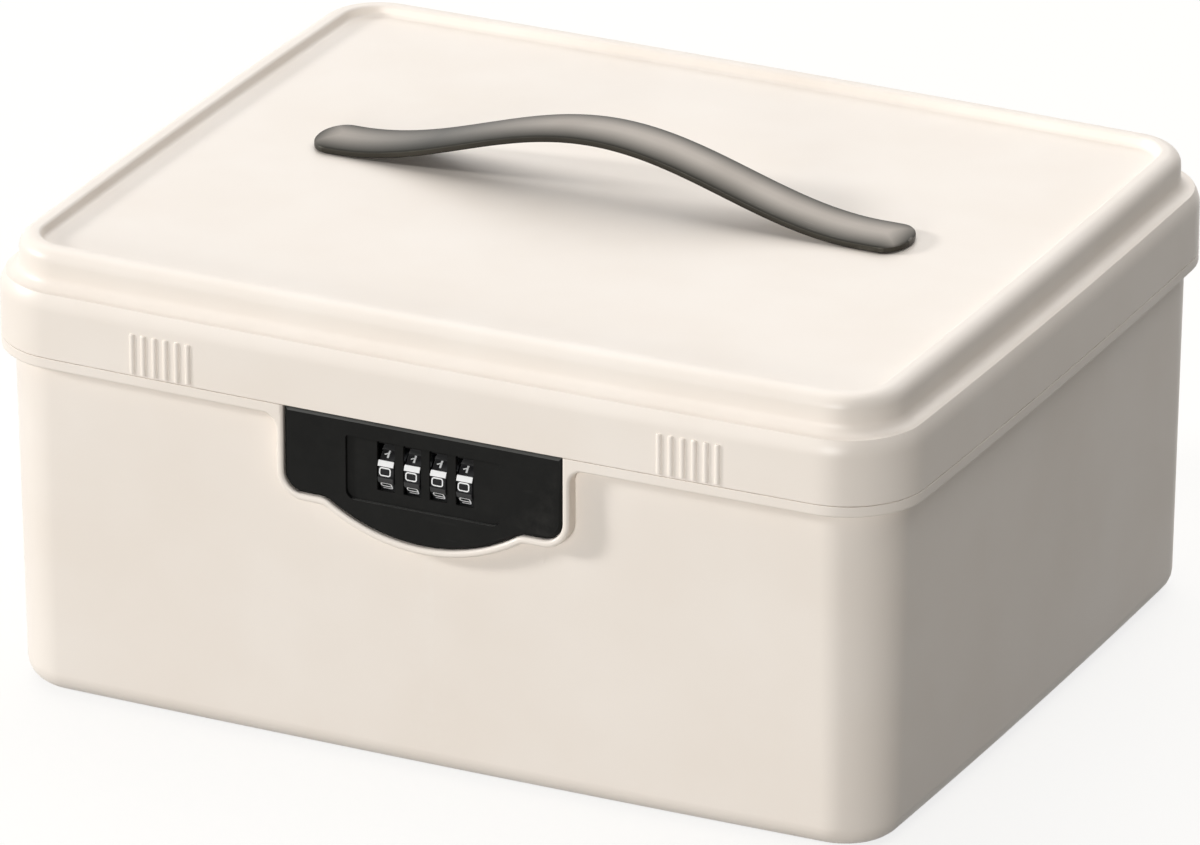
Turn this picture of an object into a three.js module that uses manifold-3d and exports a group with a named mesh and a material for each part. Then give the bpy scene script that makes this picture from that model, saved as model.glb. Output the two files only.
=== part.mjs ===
// Lidded storage box with a four-wheel number lock and a strap handle.
// Millimetres, +Z up. The origin is the middle of the flat base, the lock faces -Y.
import * as THREE from 'three';
import { mergeVertices } from 'three/addons/utils/BufferGeometryUtils.js';
import Module from 'manifold-3d';

const wasm = await Module();
wasm.setup();

// Box, outside
const boxWidth = 320;
const boxDepth = 259.9;
const wallBow = 1.9;
const cornerRadius = 25.5;
const smallestCorner = 3;
const seamHeight = 120;
const seamGap = 0.3;
const wallThickness = 2.5;
const floorThickness = 2.8;

// Tub
const lipHeight = 3.7;
const lipOverhang = 4.6;
const tubTaper = 2.2;
const footRadius = 8;
const upstandHeight = 4;
const upstandThickness = 2;

// Lid: a skirt with a round shoulder, a crease, a flare up to a raised rim, a sunken panel
const shoulderHeight = 18.7;
const shoulderRound = 10.7;
const creaseInset = 1.7;
const creaseRise = 2.65;
const ledgeWidth = 4.5;
const ledgeRise = 0.3;
const flareRound = 3.9;
const rimHeight = 12.2;
const rimDraft = 0.2;
const rimRound = 4.5;
const rimWidth = 7.1;
const recessDepth = 3.3;
const recessDraft = 0.3;
const insideRound = 2;

// Finger ribs on the front of the lid
const ribsPerGroup = 6;
const ribPitch = 3.98;
const ribGroupOffset = 92.3;
const ribWidth = 2;
const ribHeight = 14.2;
const ribProud = 0.65;
const ribLift = 0.55;

// Strap handle
const handleLength = 211.2;
const handleWidth = 21.8;
const handleThickness = 3.2;
const handleEdge = 2.1;
const handleFlatLeft = 9.3;
const handleFlatRight = 14.4;
const handleTip = 7.5;
const handleBevel = 0.5;
const handleRuns = 26;
const tipSteps = 5;
const tipHalfWidth = 1;
const crownShoulder = 0.62;
const crownShare = 0.78;
const archRise = 18.9;
const handleX = -0.6;
const handleY = 6.7;

// Screws and washers that hold the handle from inside the lid
const handleScrewInset = 11;
const handleScrewRadius = 1.8;
const handleScrewHead = 3.5;
const handleScrewHeadHeight = 2.2;
const handleScrewRoof = 1.1;
const washerRadius = 5;
const washerThickness = 1.2;

// Clearance between pieces that touch, and between pieces that move
const seatGap = 0.3;
const runningGap = 0.4;

// How far joined solids reach into each other, and how far a cut runs past a face
const overlap = 0.5;
const overrun = 1;

// Lock fascia and the apron that frames it
const apronSetback = 0.25;
const apronRim = 2.7;
const apronBlend = 5;
const apronSkin = 0.8;
const fasciaSetback = 0.7;
const fasciaThickness = 2.4;
const fasciaHalfWidth = 48.6;
const fasciaShoulder = 28.6;
const fasciaLobeDepth = 39.2;
const fasciaLobeRadius = 60;
const fasciaCorner = 6.5;
const fasciaOgee = 8;
const fasciaScrewOffset = 41;
const fasciaScrewDrop = 17;
const fasciaPostSetback = 1.2;
const fasciaPilot = 1.2;

// Dial plate seen through the fascia's window
const dialPlateWidth = 53.4;
const dialPlateHeight = 21;
const dialPlateDrop = 6.6;
const dialPlateRecess = 1.2;
const dialPlateFace = 1;
const dialPlateWall = 1.4;
const dialPlateCorner = 3;
const dialPlateTopCorner = 0.8;
const flangeMargin = 3;
const flangeSkin = 1;

// Number wheels
const wheelCount = 4;
const wheelPitch = 9.18;
const wheelWidth = 5.5;
const wheelShift = 0.35;
const wheelRadius = 9.2;
const barHeight = 0.6;
const barAngle = 12;
const barFlank = 0.9;
const digitCount = 10;
const digitPhase = 4.5;
const axleDrop = 17.8;
const wheelProud = 0.7;
const dialWindowAbove = 10.7;
const dialWindowBelow = 5.9;
const dialWindowPlay = 0.3;

// Lock works behind the dial plate
const axleRadius = 1.25;
const axleStop = 0.6;
const camRadius = 7.1;
const camWidth = 2.2;
const camFlat = 3.6;
const hubRadius = 4.6;
const bearingRadius = 3.4;
const housingWall = 1.6;
const housingWidth = 49;
const housingDepth = 17;
const housingMargin = 4.1;
const housingFlangeSide = 7.5;
const housingFlangeAbove = 1.6;
const housingFlangeBelow = 5.5;
const housingScrewInset = 3.5;
const housingScrewEdge = 3.4;
const padProud = 0.75;
const padMargin = 3;
const padTopMargin = 0.5;
const postWall = 1.6;
const coverPostOffset = 2.8;
const coverPilot = 8;
const coverEar = 3.4;

// Screws
const screwRadius = 1.1;
const screwHeadRadius = 2.5;
const screwHeadHeight = 1.6;

// Detent spring under the wheels
const springThickness = 0.4;
const springSetback = 0.8;
const springFoot = 4;
const springCrest = 0.7;
const springNose = 1.2;

// Reset slide behind the rear cover
const resetTravel = 6;
const resetDrop = 5;
const resetKnobWidth = 5.2;
const resetKnobHeight = 3.2;
const resetKnobProud = 2.4;
const resetFootWidth = 9;
const resetFootHeight = 7;

// Hook under the lid
const hookSpace = 12;
const hookBehind = 1.4;
const hookPlate = 1.6;
const hookWidth = 39;
const tabWidth = 1.8;
const tabHeight = 2;
const tabSetback = 1.6;
const tabPlay = 0.5;
const hookFlangeDepth = 13.6;
const hookFlangeHeight = 2;
const hookFlangeDrop = 8.4;
const hookScrewOffset = 13;
const hookBossRadius = 3.5;
const gussetSetback = 2;

// Back hinges
const hingeOffset = 85;
const knuckleRadius = 4;
const lidKnuckle = 16;
const tubKnuckle = 7;
const lidWebHeight = 14;
const tubWebHeight = 12;
const hingePinRadius = 1.5;
const pinHeadRadius = 2.6;
const pinHeadHeight = 1;
const hingeAxisDrop = 1.6;

// Facets on round pieces
const roundSides = 20;
const smallSides = 12;
const curveSegments = 8;
const cornerSteps = 7;
const wallSteps = 3;
const facetTurn = Math.PI / 8;
const mergeDistance = 1e-4;

// Heights and faces that follow from the sizes above
const tubTop = seamHeight - seamGap / 2;
const lidBottom = seamHeight + seamGap / 2;
const lipBottom = tubTop - lipHeight;
const shoulderTop = lidBottom + shoulderHeight;
const creaseTop = shoulderTop + creaseRise;
const ledgeInset = creaseInset + ledgeWidth;
const ledgeTop = creaseTop + ledgeRise;
const rimInset = ledgeInset + rimDraft;
const rimTop = ledgeTop + rimHeight;
const panelTop = rimTop - recessDepth;
const ceiling = panelTop - wallThickness;
const archSpan = handleLength - handleFlatLeft - handleFlatRight;
const archMiddle = (handleFlatLeft - handleFlatRight) / 2;
const handleScrewOffset = handleLength / 2 - handleScrewInset;
const handleUnderside = panelTop + seatGap;
const frontY = -(boxDepth / 2 + wallBow);
const apronFace = frontY + apronSetback;
const fasciaFace = apronFace + fasciaSetback;
const fasciaBack = fasciaFace + fasciaThickness;
const fasciaTop = tubTop - seatGap;
const dialPlateTop = fasciaTop - dialPlateDrop + seatGap;
const dialPlateBottom = dialPlateTop - dialPlateHeight;
const dialFace = fasciaFace + dialPlateRecess;
const dialFlangeFace = fasciaBack + seatGap;
const axleY = dialFace - wheelProud + wheelRadius;
const axleZ = seamHeight - axleDrop;
const wallInset = lipOverhang + wallThickness;
const padFace = frontY + wallInset + padProud;
const housingFront = padFace + seatGap;
const housingBack = housingFront + housingDepth;

const plastic = { color: 0xf0e6da, roughness: 0.45, metalness: 0 };
const blackPlastic = { color: 0x262626, roughness: 0.55, metalness: 0 };
const steel = { color: 0xb9bbbd, roughness: 0.35, metalness: 1 };
const gunmetal = { color: 0x8c8a87, roughness: 0.35, metalness: 0.9 };
const wheelPlastic = { color: 0x2c2c2e, roughness: 0.5, metalness: 0 };
const zinc = { color: 0x9a9c9e, roughness: 0.45, metalness: 0.9 };

// Solids

function solid(geometry) {
  const bare = geometry.index ? geometry.toNonIndexed() : geometry.clone();
  bare.deleteAttribute('normal');
  bare.deleteAttribute('uv');
  const merged = mergeVertices(bare, mergeDistance);
  return new wasm.Manifold(new wasm.Mesh({
    numProp: 3,
    vertProperties: new Float32Array(merged.attributes.position.array),
    triVerts: new Uint32Array(merged.index.array),
  }));
}

function unite(...solids) {
  return solids.reduce((whole, next) => whole.add(next));
}

function cut(body, ...tools) {
  return tools.reduce((whole, next) => whole.subtract(next), body);
}

function box([x0, x1], [y0, y1], [z0, z1]) {
  const geometry = new THREE.BoxGeometry(x1 - x0, y1 - y0, z1 - z0);
  return solid(geometry.translate((x0 + x1) / 2, (y0 + y1) / 2, (z0 + z1) / 2));
}

// A range of the given size, with its middle at a place
function about(middle, size) {
  return [middle - size / 2, middle + size / 2];
}

const turnToX = new THREE.Matrix4().makeRotationZ(-Math.PI / 2);
const turnToZ = new THREE.Matrix4().makeRotationX(Math.PI / 2);

function rod(axis, radius, [start, end], [first, second], sides = smallSides) {
  const geometry = new THREE.CylinderGeometry(radius, radius, end - start, sides);
  const middle = (start + end) / 2;
  if (axis === 'x') {
    return solid(geometry.applyMatrix4(turnToX).translate(middle, first, second));
  }
  if (axis === 'y') {
    return solid(geometry.translate(first, middle, second));
  }
  return solid(geometry.applyMatrix4(turnToZ).translate(first, second, middle));
}

function extrude(shape, depth) {
  return new THREE.ExtrudeGeometry(shape, { depth, bevelEnabled: false, curveSegments });
}

// A shape drawn in x and z, with its thickness along Y
function plateY(shape, [y0, y1]) {
  return solid(extrude(shape, y1 - y0).rotateX(Math.PI / 2).translate(0, y1, 0));
}

// A shape drawn in y and z, with its thickness along X
function plateX(shape, [x0, x1]) {
  const basis = new THREE.Matrix4().makeBasis(
    new THREE.Vector3(0, 1, 0),
    new THREE.Vector3(0, 0, 1),
    new THREE.Vector3(1, 0, 0),
  );
  return solid(extrude(shape, x1 - x0).applyMatrix4(basis).translate(x0, 0, 0));
}

function polygon(points) {
  return new THREE.Shape(points.map(([a, b]) => new THREE.Vector2(a, b)));
}

function roundedRectangle([x0, x1], [z0, z1], lower, upper) {
  const shape = new THREE.Shape();
  shape.absarc(x0 + lower, z0 + lower, lower, Math.PI, 1.5 * Math.PI);
  shape.absarc(x1 - lower, z0 + lower, lower, 1.5 * Math.PI, 2 * Math.PI);
  shape.absarc(x1 - upper, z1 - upper, upper, 0, 0.5 * Math.PI);
  shape.absarc(x0 + upper, z1 - upper, upper, 0.5 * Math.PI, Math.PI);
  return shape;
}

// Joins rings of points, all of one count, into a closed body
function loft(rings) {
  const count = rings[0].length;
  const positions = rings.flat(2);
  const index = [];
  for (let level = 0; level < rings.length - 1; level += 1) {
    for (let k = 0; k < count; k += 1) {
      const a = level * count + k;
      const b = level * count + ((k + 1) % count);
      index.push(a, b, b + count, a, b + count, a + count);
    }
  }
  const middle = (ring) => [0, 1, 2].map((c) => ring.reduce((sum, p) => sum + p[c], 0) / count);
  const last = rings.length - 1;
  positions.push(...middle(rings[0]), ...middle(rings[last]));
  const low = rings.length * count;
  for (let k = 0; k < count; k += 1) {
    const next = (k + 1) % count;
    index.push(low, next, k, low + 1, last * count + k, last * count + next);
  }
  const geometry = new THREE.BufferGeometry();
  geometry.setAttribute('position', new THREE.Float32BufferAttribute(positions, 3));
  geometry.setIndex(index);
  return solid(geometry);
}

// How far the middle of a wall stands out, at a place along it
function bowAt(along, span) {
  return wallBow * (1 - (along / (span / 2)) ** 2);
}

// Outline of the box at one level, inset from the lid skirt's outline
function outline([inset, z]) {
  const right = boxWidth / 2 - inset;
  const back = boxDepth / 2 - inset;
  const radius = Math.max(cornerRadius - inset, smallestCorner);
  const corners = [
    [right - radius, radius - back, -90],
    [right - radius, back - radius, 0],
    [radius - right, back - radius, 90],
    [radius - right, radius - back, 180],
  ];
  const points = [];
  corners.forEach(([cx, cy, start], side) => {
    for (let k = 0; k <= cornerSteps; k += 1) {
      const angle = THREE.MathUtils.degToRad(start + 90 * k / cornerSteps);
      points.push([cx + radius * Math.cos(angle), cy + radius * Math.sin(angle)]);
    }
    const [x0, y0] = points[points.length - 1];
    const [nx, ny, turn] = corners[(side + 1) % 4];
    const toward = THREE.MathUtils.degToRad(turn);
    const x1 = nx + radius * Math.cos(toward);
    const y1 = ny + radius * Math.sin(toward);
    for (let k = 1; k <= wallSteps; k += 1) {
      const t = k / (wallSteps + 1);
      points.push([x0 + (x1 - x0) * t, y0 + (y1 - y0) * t]);
    }
  });
  return points.map(([x, y]) => [
    x * (1 + bowAt(y, boxDepth) / (boxWidth / 2)),
    y * (1 + bowAt(x, boxWidth) / (boxDepth / 2)),
    z,
  ]);
}

// Profiles are lists of corners, each an inset, a height and the radius that rounds it

// Directions of a profile before and after one of its corners
function directions(corners, k) {
  const at = (n) => new THREE.Vector2(corners[n][0], corners[n][1]);
  return [at(k).sub(at(k - 1)).normalize(), at(k + 1).sub(at(k)).normalize()];
}

// Points along a profile, with its corners rounded
function rounded(corners) {
  return corners.flatMap(([inset, z, radius], k) => {
    if (!radius) {
      return [[inset, z]];
    }
    const [before, after] = directions(corners, k);
    const cosine = before.dot(after);
    const turn = Math.acos(cosine);
    const side = after.clone().addScaledVector(before, -cosine).normalize();
    const start = new THREE.Vector2(inset, z).addScaledVector(before, -radius * Math.tan(turn / 2));
    const steps = Math.ceil(turn / facetTurn);
    return Array.from({ length: steps + 1 }, (_, step) => {
      const angle = turn * step / steps;
      const point = start.clone().addScaledVector(before, radius * Math.sin(angle));
      return point.addScaledVector(side, radius * (1 - Math.cos(angle))).toArray();
    });
  });
}

// Corners between a profile's ends, moved square to it by a distance towards its inside
function offsetCorners(corners, distance) {
  return corners.slice(1, -1).map(([inset, z, radius], k) => {
    const [before, after] = directions(corners, k + 1);
    const first = new THREE.Vector2(before.y, -before.x);
    const second = new THREE.Vector2(after.y, -after.x);
    const move = first.clone().add(second).multiplyScalar(distance / (1 + first.dot(second)));
    return [inset + move.x, z + move.y, radius ? insideRound : 0];
  });
}

const group = new THREE.Group();

function piece(name, body, finish) {
  const mesh = body.getMesh();
  const geometry = new THREE.BufferGeometry();
  const positions = new Float32Array(mesh.vertProperties);
  geometry.setAttribute('position', new THREE.BufferAttribute(positions, 3));
  geometry.setIndex(new THREE.BufferAttribute(new Uint32Array(mesh.triVerts), 1));
  geometry.computeVertexNormals();
  const part = new THREE.Mesh(geometry, new THREE.MeshStandardMaterial(finish));
  part.name = name;
  group.add(part);
}

function ordered(a, b) {
  return [Math.min(a, b), Math.max(a, b)];
}

// A screw with its head at one end, along Y or Z
function screw(axis, place, headEnd, tip) {
  const toward = Math.sign(tip - headEnd);
  const seat = headEnd + toward * screwHeadHeight;
  const head = rod(axis, screwHeadRadius, ordered(headEnd, seat), place);
  const shank = rod(axis, screwRadius, ordered(seat - toward * overlap, tip), place);
  return head.add(shank);
}

// Lock outlines, in x and z, grown outwards by a margin

function lockOutline(margin, top, blend = 0) {
  const half = fasciaHalfWidth + margin;
  const shoulder = fasciaTop - fasciaShoulder - margin;
  const corner = fasciaCorner + margin;
  const lobe = fasciaLobeRadius + margin;
  const lobeZ = fasciaTop - fasciaLobeDepth + fasciaLobeRadius;
  const ogee = fasciaOgee - margin;
  const ogeeZ = shoulder - ogee;
  const ogeeX = Math.sqrt((lobe + ogee) ** 2 - (lobeZ - ogeeZ) ** 2);
  const meet = Math.atan2(lobeZ - ogeeZ, ogeeX);
  const shape = new THREE.Shape();
  if (blend > 0) {
    shape.moveTo(-half - blend, top);
    shape.lineTo(-half - blend, lipBottom);
    shape.absarc(-half - blend, lipBottom - blend, blend, 0.5 * Math.PI, 0, true);
  } else {
    shape.moveTo(-half, top);
    shape.lineTo(-half, shoulder + corner);
  }
  shape.absarc(corner - half, shoulder + corner, corner, Math.PI, 1.5 * Math.PI);
  shape.absarc(-ogeeX, ogeeZ, ogee, 0.5 * Math.PI, meet, true);
  shape.absarc(0, lobeZ, lobe, Math.PI + meet, 2 * Math.PI - meet);
  shape.absarc(ogeeX, ogeeZ, ogee, Math.PI - meet, 0.5 * Math.PI, true);
  shape.absarc(half - corner, shoulder + corner, corner, 1.5 * Math.PI, 2 * Math.PI);
  if (blend > 0) {
    shape.absarc(half + blend, lipBottom - blend, blend, Math.PI, 0.5 * Math.PI, true);
    shape.lineTo(half + blend, top);
  } else {
    shape.lineTo(half, top);
  }
  return shape;
}

// Places shared by the lock's pieces

const wheelMiddle = (wheelCount - 1) / 2;
const wheelX = Array.from({ length: wheelCount }, (_, k) => (
  wheelShift + (k - wheelMiddle) * wheelPitch
));
const lastWheelX = wheelX[wheelCount - 1];
const flangeHalf = dialPlateWidth / 2 + flangeMargin;
const flangeZ = [dialPlateBottom - flangeMargin, dialPlateTop + flangeMargin];
const housingHalf = housingWidth / 2;
const housingZ = about(axleZ, 2 * (wheelRadius + housingMargin));
const housingFlangeHalf = flangeHalf + housingFlangeSide;
const housingFlangeZ = [flangeZ[0] - housingFlangeBelow, flangeZ[1] + housingFlangeAbove];
const housingScrewX = housingFlangeHalf - housingScrewInset;
const housingScrewZ = [housingFlangeZ[0] + housingScrewEdge, housingFlangeZ[1] - housingScrewEdge];
const housingScrewTip = dialFlangeFace + apronSkin;
const screwHole = screwRadius + seatGap;
const postRadius = screwHole + postWall;
const coverPostX = housingHalf + coverPostOffset;
const fasciaScrewZ = fasciaTop - fasciaScrewDrop;
const axleBore = axleRadius + runningGap;
const hookFront = axleY + wheelRadius + hookBehind;
const hookBack = hookFront + hookPlate;
const hookScrewY = hookBack + hookFlangeDepth / 2;
const hookFlangeTop = ceiling - hookFlangeDrop;
const hookFlangeLow = hookFlangeTop - hookFlangeHeight;
const tabTip = axleY + camFlat + tabSetback;
const tabTop = axleZ - Math.sqrt((camRadius + tabPlay) ** 2 - (camFlat + tabSetback) ** 2);
const coverFace = housingBack + seatGap;
const coverBack = coverFace + housingWall;
const resetX = -resetTravel / 2;
const resetZ = axleZ - resetDrop;

// Hinge line along the back

const hingeHalf = lidKnuckle / 2 + runningGap + tubKnuckle;
const hingeFace = boxDepth / 2 + bowAt(hingeOffset - hingeHalf, boxWidth);
const hingeY = hingeFace + knuckleRadius + runningGap;
const hingeZ = seamHeight - hingeAxisDrop;
const hingeSides = [['left', -1], ['right', 1]];

function knuckle(range, web) {
  const barrel = rod('x', knuckleRadius, range, [hingeY, hingeZ], roundSides);
  return barrel.add(plateX(polygon(web), range));
}

function hingeBores() {
  const reach = 2 * (hingeHalf + overrun);
  return hingeSides.map(([, side]) => (
    rod('x', hingePinRadius + seatGap, about(side * hingeOffset, reach), [hingeY, hingeZ])
  ));
}

// Tub

function tubShell() {
  const footInset = lipOverhang + tubTaper;
  const floorInset = footInset + footRadius + wallThickness;
  const upstandInset = wallInset - upstandThickness;
  const shell = loft(rounded([
    [floorInset, 0],
    [footInset, 0, footRadius],
    [lipOverhang, lipBottom],
    [0, lipBottom],
    [0, tubTop],
    [upstandInset, tubTop],
    [upstandInset, tubTop + upstandHeight],
    [wallInset, tubTop + upstandHeight],
    [wallInset, lipBottom],
    [footInset + wallThickness, floorThickness, footRadius - wallThickness],
    [floorInset, floorThickness],
  ]).map(outline));
  const apron = plateY(lockOutline(apronRim, tubTop, apronBlend), [apronFace, padFace - overlap]);
  const pad = box(
    about(0, 2 * (housingFlangeHalf + padMargin)),
    [padFace - wallThickness, padFace],
    [housingFlangeZ[0] - padMargin, housingFlangeZ[1] + padTopMargin],
  );
  const webInside = boxDepth / 2 - wallInset + overlap;
  const web = [
    [webInside, lipBottom - tubWebHeight],
    [hingeY, hingeZ - knuckleRadius + overlap],
    [hingeY, tubTop],
    [webInside, tubTop],
  ];
  const knuckleOffset = lidKnuckle / 2 + runningGap + tubKnuckle / 2;
  const knuckles = hingeSides.flatMap(([, side]) => [-1, 1].map((end) => (
    knuckle(about(side * hingeOffset + end * knuckleOffset, tubKnuckle), web)
  )));
  const pocket = plateY(
    lockOutline(seatGap, tubTop + upstandHeight + overrun),
    [frontY - overrun, dialFlangeFace],
  );
  const doorway = box(
    about(0, 2 * (flangeHalf + seatGap)),
    [frontY - overrun, padFace + overrun],
    [flangeZ[0] - seatGap, flangeZ[1] + seatGap],
  );
  const screwHoles = [-1, 1].flatMap((side) => [
    ...housingScrewZ.map((z) => (
      rod('y', screwHole, [housingScrewTip, padFace + overrun], [side * housingScrewX, z])
    )),
    rod(
      'y',
      postRadius + runningGap,
      [frontY - overrun, padFace + overrun],
      [side * fasciaScrewOffset, fasciaScrewZ],
    ),
  ]);
  return cut(unite(shell, apron, pad, ...knuckles), pocket, doorway, ...screwHoles, ...hingeBores());
}

// Lid

function lidShell() {
  const rimInner = rimInset + rimWidth;
  const panelInset = rimInner + recessDraft;
  const outer = [
    [0, lidBottom],
    [0, shoulderTop, shoulderRound],
    [creaseInset, creaseTop],
    [ledgeInset, ledgeTop, flareRound],
    [rimInset, rimTop, rimRound],
    [rimInner, rimTop],
    [panelInset, panelTop],
    [panelInset + wallThickness, panelTop],
  ];
  const inner = offsetCorners(outer, wallThickness).reverse();
  const shell = loft(rounded([...inner, [wallThickness, lidBottom], ...outer]).map(outline));
  const ribRadius = ribWidth ** 2 / (8 * ribProud) + ribProud / 2;
  const ribMiddle = (ribsPerGroup - 1) / 2;
  const ribs = [-1, 1].flatMap((side) => Array.from({ length: ribsPerGroup }, (_, k) => {
    const x = side * ribGroupOffset + (k - ribMiddle) * ribPitch;
    const y = ribRadius - ribProud - boxDepth / 2 - bowAt(x, boxWidth);
    return rod('z', ribRadius, [lidBottom + ribLift, lidBottom + ribHeight], [x, y]);
  }));
  const webInside = boxDepth / 2 - wallThickness / 2;
  const barrelSide = knuckleRadius * Math.SQRT1_2;
  const web = [
    [webInside, lidBottom],
    [hingeY - knuckleRadius + overlap, lidBottom],
    [hingeY, hingeZ],
    [hingeY + barrelSide, hingeZ + barrelSide],
    [webInside, lidBottom + lidWebHeight],
  ];
  const knuckles = hingeSides.map(([, side]) => knuckle(about(side * hingeOffset, lidKnuckle), web));
  const bosses = [-1, 1].map((side) => (
    rod(
      'z',
      hookBossRadius,
      [hookFlangeTop + seatGap, ceiling + overlap],
      [side * hookScrewOffset, hookScrewY],
    )
  ));
  const handleHole = handleScrewRadius + runningGap;
  const holes = [-1, 1].flatMap((side) => [
    rod(
      'z',
      handleHole,
      [ceiling - overrun, panelTop + overrun],
      [handleX + side * handleScrewOffset, handleY],
    ),
    rod('z', screwHole, [hookFlangeTop - overrun, ceiling], [side * hookScrewOffset, hookScrewY]),
  ]);
  return cut(unite(shell, ...ribs, ...knuckles, ...bosses), ...holes, ...hingeBores());
}

// Strap handle: an arch whose ends lie flat on the lid

function archAt(x) {
  const along = x - archMiddle;
  if (Math.abs(along) >= archSpan / 2) {
    return 0;
  }
  return archRise * (0.5 + 0.5 * Math.cos(2 * Math.PI * along / archSpan));
}

function archSlopeAt(x) {
  const along = x - archMiddle;
  if (Math.abs(along) >= archSpan / 2) {
    return 0;
  }
  return -archRise * Math.PI / archSpan * Math.sin(2 * Math.PI * along / archSpan);
}

// One cross-section of the strap: flat below, crowned above
function strapSection(x, half) {
  const slope = archSlopeAt(x);
  const length = Math.hypot(slope, 1);
  const edge = handleEdge;
  const crown = handleThickness - handleEdge;
  const ring = [
    [-half, edge],
    [-half, handleBevel],
    [handleBevel - half, 0],
    [half - handleBevel, 0],
    [half, handleBevel],
    [half, edge],
    [crownShoulder * half, edge + crownShare * crown],
    [0, edge + crown],
    [-crownShoulder * half, edge + crownShare * crown],
  ];
  return ring.map(([y, h]) => {
    const height = h - handleThickness / 2;
    return [
      handleX + x - height * slope / length,
      handleY + y,
      handleUnderside + handleThickness / 2 + archAt(x) + height / length,
    ];
  });
}

function handle() {
  const straight = handleLength / 2 - handleTip;
  const tip = Array.from({ length: tipSteps }, (_, k) => {
    const angle = 0.5 * Math.PI * (k + 1) / tipSteps;
    const half = Math.max(handleWidth / 2 * Math.cos(angle), tipHalfWidth);
    return [straight + handleTip * Math.sin(angle), half];
  });
  const middle = Array.from({ length: handleRuns + 1 }, (_, k) => (
    [straight * (2 * k / handleRuns - 1), handleWidth / 2]
  ));
  const start = tip.map(([x, half]) => [-x, half]).reverse();
  const strap = loft([...start, ...middle, ...tip].map(([x, half]) => strapSection(x, half)));
  const holes = [-1, 1].map((side) => (
    rod(
      'z',
      handleScrewRadius + seatGap,
      [handleUnderside - overrun, handleUnderside + handleThickness - handleScrewRoof],
      [handleX + side * handleScrewOffset, handleY],
    )
  ));
  return cut(strap, ...holes);
}

// Lock pieces

function fascia() {
  const window = roundedRectangle(
    about(0, dialPlateWidth + 2 * seatGap),
    [dialPlateBottom - seatGap, dialPlateTop + seatGap],
    dialPlateCorner,
    dialPlateTopCorner,
  );
  const plate = plateY(lockOutline(0, fasciaTop), [fasciaFace, fasciaBack]);
  const opening = plateY(window, [fasciaFace - overrun, fasciaBack + overrun]);
  const places = [-1, 1].map((side) => [side * fasciaScrewOffset, fasciaScrewZ]);
  const posts = places.map((place) => (
    rod('y', postRadius, [fasciaBack - overlap, padFace - fasciaPostSetback], place)
  ));
  const pilots = places.map((place) => rod('y', screwHole, [fasciaBack - fasciaPilot, padFace], place));
  return cut(unite(plate, ...posts), opening, ...pilots);
}

function dialPlate() {
  const half = dialPlateWidth / 2;
  const wall = dialPlateWall;
  const face = roundedRectangle(
    [-half, half],
    [dialPlateBottom, dialPlateTop],
    dialPlateCorner,
    dialPlateTopCorner,
  );
  const boss = plateY(face, [dialFace, dialFlangeFace + overlap]);
  const flange = box([-flangeHalf, flangeHalf], [dialFlangeFace, padFace - seatGap], flangeZ);
  const bossHollow = box(
    [wall - half, half - wall],
    [dialFace + dialPlateFace, dialFlangeFace + wall],
    [dialPlateBottom + wall, dialPlateTop - wall],
  );
  const flangeHollow = box(
    [wall - flangeHalf, flangeHalf - wall],
    [dialFlangeFace + flangeSkin, padFace],
    [flangeZ[0] + wall, flangeZ[1] - wall],
  );
  const windows = wheelX.map((x) => box(
    about(x, wheelWidth + 2 * dialWindowPlay),
    [dialFace - overrun, dialFlangeFace],
    [axleZ - dialWindowBelow, axleZ + dialWindowAbove],
  ));
  return cut(unite(boss, flange), bossHollow, flangeHollow, ...windows);
}

function numberRing(x) {
  const pitch = 2 * Math.PI / digitCount;
  const halfBar = THREE.MathUtils.degToRad(barAngle) / 2;
  const flank = THREE.MathUtils.degToRad(barFlank);
  const phase = THREE.MathUtils.degToRad(digitPhase);
  const base = wheelRadius - barHeight;
  const points = [];
  for (let k = 0; k < digitCount; k += 1) {
    const bar = Math.PI - phase - (k + 0.5) * pitch;
    points.push([wheelRadius, bar + halfBar]);
    points.push([wheelRadius, bar - halfBar]);
    points.push([base, bar - halfBar - flank]);
    points.push([base, bar - pitch / 2]);
    points.push([base, bar - pitch + halfBar + flank]);
  }
  const rim = points.map(([r, angle]) => [axleY + r * Math.cos(angle), axleZ + r * Math.sin(angle)]);
  const ring = plateX(polygon(rim.reverse()), about(x, wheelWidth));
  const bore = rod('x', hubRadius + seatGap, about(x, 2 * wheelWidth), [axleY, axleZ], roundSides);
  return ring.subtract(bore);
}

function camRange(x) {
  const start = x + wheelWidth / 2 + seatGap;
  return [start, start + camWidth];
}

function wheelCam(x) {
  const [start, end] = camRange(x);
  const hubStart = x - wheelWidth / 2 + runningGap;
  const hub = rod('x', hubRadius, [hubStart, end], [axleY, axleZ], roundSides);
  const disc = rod('x', camRadius, [start, end], [axleY, axleZ], roundSides);
  const gate = box(
    [start - seatGap, end + overrun],
    [axleY + camFlat, axleY + camRadius + overrun],
    about(axleZ, 2 * (camRadius + overrun)),
  );
  const bore = rod('x', axleBore, [hubStart - overrun, end + overrun], [axleY, axleZ]);
  return cut(hub.add(disc), gate, bore);
}

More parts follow.
